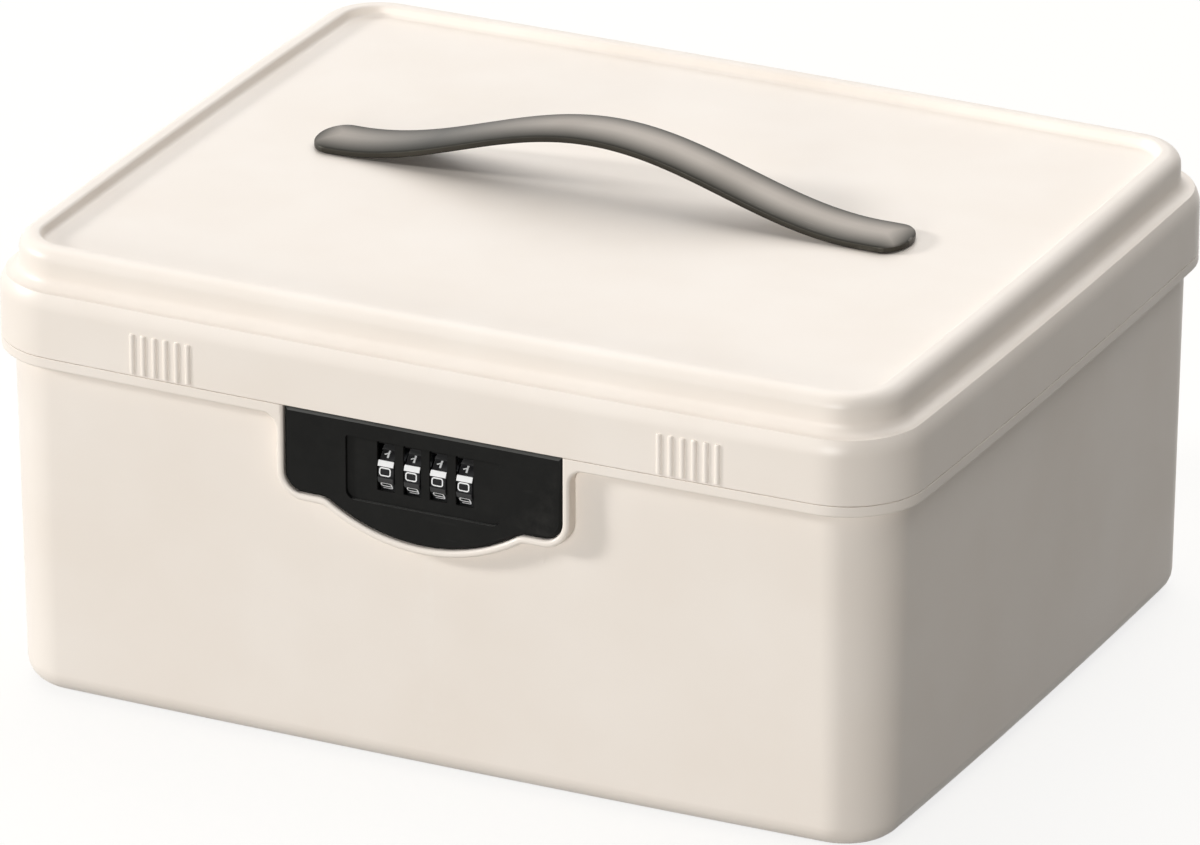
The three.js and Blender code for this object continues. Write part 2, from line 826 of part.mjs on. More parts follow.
function housing() {
  const wall = housingWall;
  const outer = box([-housingHalf, housingHalf], [housingFront, housingBack], housingZ);
  const inner = box(
    [wall - housingHalf, housingHalf - wall],
    [housingFront - overrun, housingBack + overrun],
    [housingZ[0] + wall, housingZ[1] - wall],
  );
  const flangeBack = housingFront + wall;
  const flange = box(
    [-housingFlangeHalf, housingFlangeHalf],
    [housingFront, flangeBack],
    housingFlangeZ,
  );
  const hookSlot = box(
    [wall - housingHalf, housingHalf - wall],
    [housingBack - hookSpace, housingBack + overrun],
    [axleZ, housingZ[1] + overrun],
  );
  const posts = [-1, 1].map((side) => (
    rod('y', postRadius, [housingFront + overlap, housingBack], [side * coverPostX, axleZ])
  ));
  const firstFace = wheelX[0] - wheelWidth / 2 - runningGap;
  const lastFace = camRange(lastWheelX)[1] + runningGap;
  const bearings = [
    rod('x', bearingRadius, [overlap - housingHalf, firstFace], [axleY, axleZ]),
    rod('x', bearingRadius, [lastFace, housingHalf - overlap], [axleY, axleZ]),
  ];
  const axleHole = rod('x', axleBore, about(0, housingWidth - 2 * axleStop), [axleY, axleZ]);
  const screwHoles = [-1, 1].flatMap((side) => [
    ...housingScrewZ.map((z) => (
      rod('y', screwHole, [housingFront - overrun, flangeBack + overrun], [side * housingScrewX, z])
    )),
    rod('y', screwHole, [housingBack - coverPilot, housingBack + overrun], [side * coverPostX, axleZ]),
  ]);
  const hollow = unite(outer, flange, ...posts).subtract(inner);
  return cut(unite(hollow, ...bearings), hookSlot, axleHole, ...screwHoles);
}

function rearCover() {
  const plate = box([-housingHalf, housingHalf], [coverFace, coverBack], housingZ);
  const ears = box(
    about(0, 2 * (coverPostX + coverEar)),
    [coverFace, coverBack],
    about(axleZ, 2 * coverEar),
  );
  const through = [coverFace - overrun, coverBack + overrun];
  const slotSide = resetKnobWidth / 2 + runningGap;
  const slot = box(
    [resetX - slotSide, resetX + resetTravel + slotSide],
    through,
    about(resetZ, resetKnobHeight + 2 * runningGap),
  );
  const holes = [-1, 1].map((side) => rod('y', screwHole, through, [side * coverPostX, axleZ]));
  return cut(unite(plate, ears), slot, ...holes);
}

function resetSlide() {
  const front = hookBack + overlap;
  const foot = box(
    about(resetX, resetFootWidth),
    [front, coverFace - seatGap],
    about(resetZ, resetFootHeight),
  );
  const knob = box(
    about(resetX, resetKnobWidth),
    [front, coverBack + resetKnobProud],
    about(resetZ, resetKnobHeight),
  );
  return foot.add(knob);
}

function detentSpring() {
  const floor = housingZ[0] + housingWall + seatGap;
  const crest = axleZ - wheelRadius - runningGap - springThickness;
  const back = housingBack - springSetback;
  const bend = back - springFoot;
  const strip = box(
    [wheelX[0] - springFoot, lastWheelX + springFoot],
    [bend, back],
    [floor, floor + springThickness],
  );
  const underside = [
    [back - overlap, floor],
    [bend, floor],
    [axleY + springCrest, crest],
    [axleY - springCrest, crest],
    [axleY - springCrest - springNose, crest - springNose / 2],
  ];
  const topside = underside.map(([y, z]) => [y, z + springThickness]).reverse();
  const finger = polygon([...topside, ...underside]);
  return unite(strip, ...wheelX.map((x) => plateX(finger, about(x, springFoot))));
}

function lidHook() {
  const half = hookWidth / 2;
  const tabLow = tabTop - tabHeight;
  const flangeEnd = hookBack + hookFlangeDepth;
  const spine = box([-half, half], [hookFront, hookBack], [tabLow, hookFlangeTop]);
  const flange = box([-half, half], [hookFront, flangeEnd], [hookFlangeLow, hookFlangeTop]);
  const tabs = wheelX.map((x) => {
    const [start, end] = camRange(x);
    return box(about((start + end) / 2, tabWidth), [tabTip, hookFront + overlap], [tabLow, tabTop]);
  });
  const gussetLow = tubTop + gussetSetback;
  const web = polygon([
    [hookBack - overlap, hookFlangeLow + overlap],
    [hookBack - overlap, gussetLow],
    [hookBack, gussetLow],
    [flangeEnd - gussetSetback, hookFlangeLow],
    [flangeEnd - gussetSetback, hookFlangeLow + overlap],
  ]);
  const gussets = [-1, 1].map((side) => plateX(web, about(side * (half - hookPlate / 2), hookPlate)));
  const holes = [-1, 1].map((side) => (
    rod(
      'z',
      screwHole,
      [hookFlangeLow - overrun, hookFlangeTop + overrun],
      [side * hookScrewOffset, hookScrewY],
    )
  ));
  return cut(unite(spine, flange, ...tabs, ...gussets), ...holes);
}

function handleScrew(side) {
  const place = [handleX + side * handleScrewOffset, handleY];
  const seat = ceiling - washerThickness - 2 * seatGap;
  const tip = handleUnderside + handleThickness - handleScrewRoof - seatGap;
  const head = rod('z', handleScrewHead, [seat - handleScrewHeadHeight, seat], place);
  return head.add(rod('z', handleScrewRadius, [seat - overlap, tip], place));
}

function handleWasher(side) {
  const place = [handleX + side * handleScrewOffset, handleY];
  const top = ceiling - seatGap;
  const low = top - washerThickness;
  const ring = rod('z', washerRadius, [low, top], place, roundSides);
  return ring.subtract(rod('z', handleScrewRadius + runningGap, [low - overrun, top + overrun], place));
}

function hingePin(side) {
  const middle = side * hingeOffset;
  const collar = middle + side * (hingeHalf + seatGap);
  const place = [hingeY, hingeZ];
  const pin = rod('x', hingePinRadius, ordered(middle - side * hingeHalf, collar), place);
  return pin.add(rod('x', pinHeadRadius, ordered(collar, collar + side * pinHeadHeight), place));
}

// The whole box

piece('tub_shell', tubShell(), plastic);
piece('lid_shell', lidShell(), plastic);
piece('handle', handle(), gunmetal);
piece('lock_fascia', fascia(), blackPlastic);
piece('dial_plate', dialPlate(), blackPlastic);
piece('lock_housing', housing(), blackPlastic);
piece('lock_rear_cover', rearCover(), blackPlastic);
piece('reset_slide', resetSlide(), steel);
piece('detent_spring', detentSpring(), steel);
const axleLength = housingWidth - 2 * (axleStop + runningGap);
piece('wheel_axle', rod('x', axleRadius, about(0, axleLength), [axleY, axleZ]), steel);
wheelX.forEach((x, k) => {
  piece(`number_ring_${k + 1}`, numberRing(x), wheelPlastic);
  piece(`wheel_cam_${k + 1}`, wheelCam(x), zinc);
});
piece('lid_hook', lidHook(), blackPlastic);
const headSpace = seatGap + screwHeadHeight;
hingeSides.forEach(([name, side]) => {
  piece(`handle_screw_${name}`, handleScrew(side), steel);
  piece(`handle_washer_${name}`, handleWasher(side), steel);
  piece(`hinge_pin_${name}`, hingePin(side), steel);
  const hookPlace = [side * hookScrewOffset, hookScrewY];
  const hookScrew = screw('z', hookPlace, hookFlangeLow - headSpace, ceiling - overrun);
  piece(`hook_screw_${name}`, hookScrew, steel);
  const coverPlace = [side * coverPostX, axleZ];
  const coverScrew = screw('y', coverPlace, coverBack + headSpace, housingBack - coverPilot + overrun);
  piece(`cover_screw_${name}`, coverScrew, steel);
  const fasciaPlace = [side * fasciaScrewOffset, fasciaScrewZ];
  const fasciaTip = fasciaBack - fasciaPilot + seatGap;
  piece(`fascia_screw_${name}`, screw('y', fasciaPlace, padFace + headSpace, fasciaTip), steel);
  housingScrewZ.forEach((z, k) => {
    const level = ['lower', 'upper'][k];
    const headEnd = housingFront + housingWall + headSpace;
    const body = screw('y', [side * housingScrewX, z], headEnd, housingScrewTip + seatGap);
    piece(`housing_screw_${level}_${name}`, body, steel);
  });
});

export default group;
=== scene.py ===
"""Lidded storage box with a four-wheel number lock and a strap handle.

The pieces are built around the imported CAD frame, in its own coordinates. Shapes are drawn in
millimetres and become metres when a piece is finished.
"""

import logging
import math
from dataclasses import dataclass, field
from enum import Enum
from typing import Any, Sequence

import bmesh
import bpy
from mathutils import Matrix, Vector


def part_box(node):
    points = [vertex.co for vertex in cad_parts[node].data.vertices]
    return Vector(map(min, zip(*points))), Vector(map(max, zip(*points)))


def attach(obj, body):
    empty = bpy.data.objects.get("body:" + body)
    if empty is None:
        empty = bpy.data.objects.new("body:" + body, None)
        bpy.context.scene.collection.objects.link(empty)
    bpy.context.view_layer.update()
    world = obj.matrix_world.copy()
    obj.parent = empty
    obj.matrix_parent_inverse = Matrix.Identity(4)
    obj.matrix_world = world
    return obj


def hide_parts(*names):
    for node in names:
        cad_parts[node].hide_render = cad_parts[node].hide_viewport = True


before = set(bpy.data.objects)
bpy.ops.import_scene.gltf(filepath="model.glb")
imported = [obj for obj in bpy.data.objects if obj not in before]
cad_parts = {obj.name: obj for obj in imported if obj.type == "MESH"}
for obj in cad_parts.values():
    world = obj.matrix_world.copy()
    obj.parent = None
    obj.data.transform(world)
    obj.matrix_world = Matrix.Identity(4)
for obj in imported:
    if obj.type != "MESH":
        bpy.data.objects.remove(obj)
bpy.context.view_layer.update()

MM = 0.001
# How far a cutting tool or a welded part reaches past a face, so that no two faces coincide.
PAST = 1.0
LOG = logging.getLogger("lock_box")

Point = tuple[float, float]
Span = tuple[float, float]


class Axis(Enum):
    """A direction of the frame that a shape runs along."""

    X = 0
    Y = 1
    Z = 2

    def place(self, along: float, first: float, second: float) -> Vector:
        """Returns the point at a distance along the axis and two distances across it."""
        across = [first, second]
        return Vector([along if k == self.value else across.pop(0) for k in range(3)])

    def vector(self) -> Vector:
        """Returns the unit vector of the axis."""
        return self.place(1.0, 0.0, 0.0)


class Side(Enum):
    """The left or right half of the box, seen from the lock."""

    LEFT = -1
    RIGHT = 1

    @property
    def label(self) -> str:
        """The side's name as the CAD nodes spell it."""
        return self.name.lower()


class Operation(Enum):
    """How a second solid changes the first."""

    ADD = "UNION"
    CUT = "DIFFERENCE"


class Slot(Enum):
    """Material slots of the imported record."""

    CREAM = "cream_plastic"
    BLACK = "black_plastic"
    WHEEL = "wheel_plastic"
    GUNMETAL = "gunmetal"
    ZINC = "zinc"
    STEEL = "steel"


def rounded(points: Sequence[Sequence[float]], radii: Sequence[float], steps: int = 4,
            closed: bool = False) -> list[Vector]:
    """Rounds the corners of a line of points with arcs.

    Args:
        points: The corners, in two or three dimensions.
        radii: The radius at each corner, zero where it stays sharp.
        steps: How many straight pieces an arc has.
        closed: Whether the last point joins the first.

    Returns:
        The line with its corners rounded.
    """
    corners = [Vector(point).to_3d() if len(point) == 2 else Vector(point) for point in points]
    line: list[Vector] = []
    for k, (corner, radius) in enumerate(zip(corners, radii)):
        inner = closed or 0 < k < len(corners) - 1
        if radius <= 0.0 or not inner:
            line.append(corner)
            continue
        before = (corners[k - 1] - corner).normalized()
        after = (corners[(k + 1) % len(corners)] - corner).normalized()
        half = before.angle(after) / 2.0
        centre = corner + (before + after).normalized() * (radius / math.sin(half))
        start = corner + before * (radius / math.tan(half)) - centre
        end = corner + after * (radius / math.tan(half)) - centre
        turn = start.rotation_difference(end)
        for step in range(steps + 1):
            swing = Matrix.Rotation(turn.angle * step / steps, 3, turn.axis)
            line.append(centre + swing @ start)
    return line


def arc(centre: Point, radius: float, start: float, end: float, steps: int) -> list[Point]:
    """Returns points on an arc, from one angle to another in radians.

    Args:
        centre: The middle of the circle.
        radius: Its radius.
        start: The first angle.
        end: The last angle.
        steps: How many straight pieces the arc has.

    Returns:
        The points, both ends included.
    """
    return [
        (centre[0] + radius * math.cos(start + (end - start) * k / steps),
         centre[1] + radius * math.sin(start + (end - start) * k / steps))
        for k in range(steps + 1)
    ]


def rounded_rectangle(wide: Span, high: Span, corners: Span, grow: float = 0.0,
                      steps: int = 8) -> list[Point]:
    """Returns the outline of a rectangle that is grown all round.

    Args:
        wide: Left and right.
        high: Bottom and top.
        corners: Radius of the lower and of the upper corners.
        grow: How far each side moves out and each radius grows.
        steps: How many straight pieces a corner has.

    Returns:
        The outline.
    """
    (left, right), (low, top) = ((start - grow, end + grow) for start, end in (wide, high))
    lower, upper = (radius + grow for radius in corners)
    line = rounded([(left, low), (right, low), (right, top), (left, top)],
                   [lower, lower, upper, upper], steps, closed=True)
    return [(p.x, p.y) for p in line]


def linked(name: str, data: Any) -> bpy.types.Object:
    """Returns a new object with this data, linked to the scene.

    Args:
        name: The object's name.
        data: Its mesh, curve, light or camera.

    Returns:
        The object.
    """
    item = bpy.data.objects.new(name, data)
    bpy.context.scene.collection.objects.link(item)
    return item


class Body:
    """A closed solid in the making, in millimetres."""

    def __init__(self, mesh: bmesh.types.BMesh) -> None:
        """Takes over a mesh."""
        self.mesh = mesh

    def outward(self) -> "Body":
        """Merges doubles, turns every face outwards and returns the solid.

        Returns:
            This solid.
        """
        bmesh.ops.remove_doubles(self.mesh, verts=self.mesh.verts, dist=1e-4)
        bmesh.ops.recalc_face_normals(self.mesh, faces=self.mesh.faces)
        return self

    @classmethod
    def loft(cls, rings: Sequence[Sequence[Vector]]) -> "Body":
        """Joins rings of points, all of one count, into a solid with both ends closed.

        Args:
            rings: The rings, from one end to the other.

        Returns:
            The solid.
        """
        work = bmesh.new()
        bmesh.ops.create_circle(work, cap_ends=True, radius=1.0, segments=len(rings[0]))
        work.faces.ensure_lookup_table()
        cap = work.faces[0]
        for vert, point in zip(cap.verts, rings[0]):
            vert.co = point
        for level, ring in enumerate(rings[1:]):
            grown = bmesh.ops.extrude_face_region(work, geom=[cap])["geom"]
            if level:
                bmesh.ops.delete(work, geom=[cap], context="FACES_ONLY")
            cap = next(item for item in grown if isinstance(item, bmesh.types.BMFace))
            for vert, point in zip(cap.verts, ring):
                vert.co = point
        return cls(work).outward()

    @classmethod
    def stacked(cls, axis: Axis, layers: Sequence[tuple[float, Sequence[Point]]]) -> "Body":
        """Joins outlines, each at its own place along an axis.

        Args:
            axis: The axis that they stand on.
            layers: The place along the axis and the outline of each.

        Returns:
            The solid.
        """
        return cls.loft([[axis.place(along, *point) for point in outline]
                         for along, outline in layers])

    @classmethod
    def plate(cls, outline: Sequence[Point], axis: Axis, span: Span) -> "Body":
        """Extrudes an outline along an axis."""
        return cls.stacked(axis, [(along, outline) for along in span])

    @classmethod
    def block(cls, wide: Span, deep: Span, high: Span, rounding: float = 0.0,
              segments: int = 2) -> "Body":
        """Returns a block between two limits in x, y and z, its edges rounded.

        Args:
            wide: Its limits in x.
            deep: Its limits in y.
            high: Its limits in z.
            rounding: Radius of its edges.
            segments: Segments of each edge.

        Returns:
            The block.
        """
        spans = (wide, deep, high)
        size = Matrix.Diagonal([b - a for a, b in spans]).to_4x4()
        middle = Matrix.Translation([(a + b) / 2.0 for a, b in spans])
        work = bmesh.new()
        bmesh.ops.create_cube(work, size=1.0, matrix=middle @ size)
        body = cls(work)
        return body.soften(rounding, segments) if rounding else body

    @classmethod
    def turned(cls, profile: Sequence[Point], axis: Axis, centre: Point, steps: int = 48,
               closed: bool = False) -> "Body":
        """Spins a profile of (along, radius) points about an axis.

        Args:
            profile: The points, the ends on the axis unless the profile is closed.
            axis: The axis to spin about.
            centre: Where the axis stands, in the two other directions.
            steps: How many facets the round has.
            closed: Whether the profile joins up, as for a washer.

        Returns:
            The turned solid.
        """
        work = bmesh.new()
        verts = [work.verts.new(axis.place(along, radius + centre[0], centre[1]))
                 for along, radius in profile]
        pairs = list(zip(verts, verts[1:])) + ([(verts[-1], verts[0])] if closed else [])
        edges = [work.edges.new(pair) for pair in pairs]
        bmesh.ops.spin(work, geom=verts + edges, cent=axis.place(0.0, *centre),
                       axis=axis.vector(), dvec=(0.0, 0.0, 0.0), angle=math.tau,
                       steps=steps, use_merge=True, use_duplicate=False)
        return cls(work).outward()

    @classmethod
    def rod(cls, axis: Axis, radius: float, span: Span, centre: Point, rounding: float = 0.0,
            steps: int = 40) -> "Body":
        """Returns a round bar with rounded rims.

        Args:
            axis: The axis that it runs along.
            radius: Its radius.
            span: Its two ends.
            centre: Its place across the axis.
            rounding: Radius of its rims.
            steps: How many facets the round has.

        Returns:
            The bar.
        """
        corners = [(span[0], 0.0), (span[0], radius), (span[1], radius), (span[1], 0.0)]
        line = rounded(corners, [0.0, rounding, rounding, 0.0], 3)
        return cls.turned([(p.x, p.y) for p in line], axis, centre, steps)

    @classmethod
    def of_node(cls, name: str) -> "Body":
        """Returns a copy of a CAD node, its triangles merged into flat faces.

        Args:
            name: The node.

        Returns:
            The copy, in millimetres.
        """
        work = bmesh.new()
        work.from_mesh(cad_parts[name].data)
        bmesh.ops.transform(work, matrix=Matrix.Scale(1.0 / MM, 4), verts=work.verts)
        bmesh.ops.remove_doubles(work, verts=work.verts, dist=1e-3)
        bmesh.ops.dissolve_limit(work, angle_limit=math.radians(0.5), verts=work.verts,
                                 edges=work.edges)
        bmesh.ops.recalc_face_normals(work, faces=work.faces)
        return cls(work)

    def moved(self, matrix: Matrix) -> "Body":
        """Moves the solid and returns it.

        Args:
            matrix: The move, which may mirror.

        Returns:
            This solid.
        """
        bmesh.ops.transform(self.mesh, matrix=matrix, verts=self.mesh.verts)
        if matrix.determinant() < 0.0:
            bmesh.ops.reverse_faces(self.mesh, faces=self.mesh.faces)
        return self

    def merged(self, *others: "Body") -> "Body":
        """Takes in solids that lie clear of this one, and returns the group.

        Args:
            others: The other solids.

        Returns:
            This solid.
        """
        for other in others:
            carrier = bpy.data.meshes.new("carrier")
            other.mesh.to_mesh(carrier)
            self.mesh.from_mesh(carrier)
            bpy.data.meshes.remove(carrier)
        return self

    def soften(self, radius: float, segments: int = 2, angle: float = 40.0) -> "Body":
        """Rounds every edge sharper than an angle in degrees, and returns the solid.

        Args:
            radius: Radius of the edges.
            segments: Segments of each edge.
            angle: The angle in degrees past which an edge counts as sharp.

        Returns:
            This solid.
        """
        limit = math.radians(angle)
        edges = [edge for edge in self.mesh.edges if edge.calc_face_angle(0.0) > limit]
        bmesh.ops.bevel(self.mesh, geom=edges, offset=radius, offset_type="OFFSET",
                        affect="EDGES", segments=segments, profile=0.5, material=-1,
                        clamp_overlap=True)
        return self

    def _carrier(self) -> bpy.types.Object:
        """Returns a throwaway object that holds the mesh.

        Returns:
            The object.
        """
        data = bpy.data.meshes.new("carrier")
        self.mesh.to_mesh(data)
        return linked("carrier", data)

    def combined(self, tool: "Body", operation: Operation) -> "Body":
        """Adds or cuts a second solid, and returns this one.

        Args:
            tool: The second solid.
            operation: What is done with it.

        Returns:
            This solid.
        """
        base, cutter = self._carrier(), tool._carrier()
        change = base.modifiers.new("change", "BOOLEAN")
        change.operation = operation.value
        change.object = cutter
        change.solver = "EXACT"
        graph = bpy.context.evaluated_depsgraph_get()
        result = bpy.data.meshes.new_from_object(base.evaluated_get(graph))
        self.mesh.clear()
        self.mesh.from_mesh(result)
        bpy.data.meshes.remove(result)
        for carrier in (base, cutter):
            bpy.data.meshes.remove(carrier.data)
        return self

    def add(self, *tools: "Body") -> "Body":
        """Unites this solid with others, one after the other.

        Args:
            tools: The other solids.

        Returns:
            This solid.
        """
        for tool in tools:
            self.combined(tool, Operation.ADD)
        return self

    def cut(self, *tools: "Body") -> "Body":
        """Cuts other solids out of this one, one after the other.

        Args:
            tools: The solids that are taken away.

        Returns:
            This solid.
        """
        for tool in tools:
            self.combined(tool, Operation.CUT)
        return self


@dataclass
class Piece:
    """One finished piece of the object, and what it stands for."""

    name: str
    body: str
    slot: Slot
    replaces: Sequence[str] = ()
    sharp: float = 38.0
    bevel: float = 0.0

    @classmethod
    def of_node(cls, node: str, body: str, slot: Slot, bevel: float = 0.0) -> "Piece":
        """Returns the piece that stands for one CAD node."""
        return cls(f"{node}_dressed", body, slot, (node,), bevel=bevel)

    def finish(self, solid: Body, *materials: bpy.types.Material) -> bpy.types.Object:
        """Turns a solid into a piece that rides on its body.

        Args:
            solid: The shape, in millimetres.
            materials: The materials of its slots.

        Returns:
            The finished object, at the origin.
        """
        bmesh.ops.transform(solid.mesh, matrix=Matrix.Scale(MM, 4), verts=solid.mesh.verts)
        data = bpy.data.meshes.new(self.name)
        solid.mesh.to_mesh(data)
        solid.mesh.free()
        for polygon in data.polygons:
            polygon.use_smooth = True
        data.set_sharp_from_angle(angle=math.radians(self.sharp))
        for material in materials:
            data.materials.append(material)
        piece = linked(self.name, data)
        if self.bevel:
            edge = piece.modifiers.new("edge", "BEVEL")
            edge.width = self.bevel * MM
            edge.segments = 2
            edge.limit_method = "ANGLE"
            edge.angle_limit = math.radians(self.sharp)
            edge.harden_normals = True
        shade = piece.modifiers.new("shade", "WEIGHTED_NORMAL")
        shade.keep_sharp = True
        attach(piece, self.body)
        if self.replaces:
            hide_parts(*self.replaces)
        LOG.info("%s: %d faces, on %s", self.name, len(data.polygons), self.body)
        return piece


# Finishes

class Graph:
    """A node tree being wired."""

    def __init__(self, tree: bpy.types.NodeTree) -> None:
        """Takes an empty node tree."""
        self.tree = tree

    @classmethod
    def of(cls, owner: bpy.types.Material | bpy.types.World) -> "Graph":
        """Returns the emptied node tree of a material or a world.

        Args:
            owner: The material or the world.

        Returns:
            Its graph.
        """
        owner.use_nodes = True
        owner.node_tree.nodes.clear()
        return cls(owner.node_tree)

    def add(self, kind: str, sockets: dict[Any, Any] | None = None,
            **settings: Any) -> bpy.types.Node:
        """Adds a node.

        Args:
            kind: The node's type name.
            sockets: Values or output sockets for its inputs, by name or number.
            settings: Properties of the node.

        Returns:
            The new node.
        """
        node = self.tree.nodes.new(kind)
        for name, value in settings.items():
            setattr(node, name, value)
        for key, value in (sockets or {}).items():
            if isinstance(value, bpy.types.NodeSocket):
                self.tree.links.new(value, node.inputs[key])
            else:
                node.inputs[key].default_value = value
        return node

    def math(self, operation: str, first: Any, second: Any = 0.0) -> bpy.types.NodeSocket:
        """Adds a Math node and returns its output."""
        return self.add("ShaderNodeMath", {0: first, 1: second}, operation=operation).outputs[0]

    def spread(self, value: Any, source: Span, target: Span = (0.0, 1.0)) -> bpy.types.NodeSocket:
        """Adds a clamped Map Range node and returns its output.

        Args:
            value: The number that is mapped.
            source: The limits it comes from.
            target: The limits it goes to.

        Returns:
            The mapped number.
        """
        node = self.add("ShaderNodeMapRange", {
            "Value": value, "From Min": source[0], "From Max": source[1],
            "To Min": target[0], "To Max": target[1]})
        return node.outputs["Result"]

    def noise(self, vector: Any, scale: Any, detail: float = 3.0,
              roughness: float = 0.5) -> bpy.types.NodeSocket:
        """Adds a Noise Texture node and returns its value.

        Args:
            vector: The coordinates.
            scale: Noise cells per metre.
            detail: How many finer layers it has.
            roughness: How strong the finer layers are.

        Returns:
            The noise, 0 to 1.
        """
        node = self.add("ShaderNodeTexNoise", {
            "Vector": vector, "Scale": scale, "Detail": detail, "Roughness": roughness})
        return node.outputs["Fac"]

    def blend(self, factor: Any, first: Any, second: Any) -> bpy.types.NodeSocket:
        """Adds a colour Mix node and returns its result."""
        node = self.add("ShaderNodeMix", {0: factor, 6: first, 7: second}, data_type="RGBA")
        return node.outputs[2]

    def seen(self) -> bpy.types.NodeSocket:
        """Returns 1 where the camera looks, straight, by reflection or through glass.

        Returns:
            The mask.
        """
        rays = self.add("ShaderNodeLightPath").outputs
        direct = self.math("MAXIMUM", rays["Is Camera Ray"], rays["Is Glossy Ray"])
        return self.math("MAXIMUM", direct, rays["Is Transmission Ray"])


def tone(red: float, green: float, blue: float) -> tuple[float, float, float, float]:
    """Returns a display colour, 0 to 255, as linear values with full alpha.

    Args:
        red: The red channel.
        green: The green channel.
        blue: The blue channel.

    Returns:
        The colour, as a socket takes it.
    """
    def linear(value: float) -> float:
        """Undoes the display curve of one channel."""
        share = value / 255.0
        return share / 12.92 if share <= 0.04045 else ((share + 0.055) / 1.055) ** 2.4
    return (linear(red), linear(green), linear(blue), 1.0)


class Effects:
    """Shader node groups that several finishes share."""

    def __init__(self) -> None:
        """Builds the groups once."""
        self.grain = self._grain()
        self.wear = self._wear()
        self.marks = self._marks()

    @staticmethod
    def _group(name: str, scale: float, outputs: Sequence[str]) -> tuple[Graph, Any, Any]:
        """Starts a group and returns its graph, its vector and its scale.

        Args:
            name: The group's name.
            scale: What its Scale input holds until it is set.
            outputs: The names of the values that it puts out.

        Returns:
            The graph, and the sockets of the two inputs.
        """
        tree = bpy.data.node_groups.new(name, "ShaderNodeTree")
        tree.interface.new_socket("Vector", in_out="INPUT", socket_type="NodeSocketVector")
        size = tree.interface.new_socket("Scale", in_out="INPUT", socket_type="NodeSocketFloat")
        size.default_value = scale
        for label in outputs:
            tree.interface.new_socket(label, in_out="OUTPUT", socket_type="NodeSocketFloat")
        graph = Graph(tree)
        source = graph.add("NodeGroupInput").outputs
        return graph, source["Vector"], source["Scale"]

    def _grain(self) -> bpy.types.NodeTree:
        """Builds the fine texture of a moulded or blasted surface.

        Returns:
            The group, with a height and a broad change of tone.
        """
        graph, vector, scale = self._group("fine_grain", 1800.0, ["Height", "Tone"])
        fine = graph.noise(vector, scale, 2.0, 0.6)
        coarse = graph.noise(vector, graph.math("MULTIPLY", scale, 0.31), 1.0)
        height = graph.math("ADD", graph.math("MULTIPLY", fine, 0.65),
                            graph.math("MULTIPLY", coarse, 0.35))
        broad = graph.noise(vector, graph.math("MULTIPLY", scale, 0.012), 2.0)
        graph.add("NodeGroupOutput", {"Height": height, "Tone": graph.spread(broad, (0.3, 0.7))})
        return graph.tree

    def _wear(self) -> bpy.types.NodeTree:
        """Builds the rubbed edges of a handled piece.

        Returns:
            The group, with a mask of the rubbed places.
        """
        graph, vector, scale = self._group("edge_wear", 160.0, ["Mask"])
        ridge = graph.add("ShaderNodeNewGeometry").outputs["Pointiness"]
        edge = graph.spread(ridge, (0.52, 0.62))
        broken = graph.spread(graph.noise(vector, scale, 4.0, 0.65), (0.38, 0.62))
        graph.add("NodeGroupOutput", {"Mask": graph.math("MULTIPLY", edge, broken)})
        return graph.tree

    def _marks(self) -> bpy.types.NodeTree:
        """Builds the faint smudges and hair scratches that handling leaves.

        Returns:
            The group, with a mask each for smudges and scratches.
        """
        graph, vector, scale = self._group("handling_marks", 30.0, ["Smudge", "Scratch"])
        cloud = graph.noise(vector, scale, 4.0, 0.6)
        turned = graph.add("ShaderNodeMapping", {
            "Vector": vector, "Rotation": (0.3, 0.5, 0.9), "Scale": (1.0, 22.0, 9.0)})
        hair = graph.noise(turned.outputs["Vector"], graph.math("MULTIPLY", scale, 1.7), 2.0)
        area = graph.spread(graph.noise(vector, graph.math("MULTIPLY", scale, 0.6)), (0.5, 0.66))
        thin = graph.spread(hair, (0.66, 0.72))
        graph.add("NodeGroupOutput", {"Smudge": graph.spread(cloud, (0.35, 0.7)),
                                      "Scratch": graph.math("MULTIPLY", thin, area)})
        return graph.tree


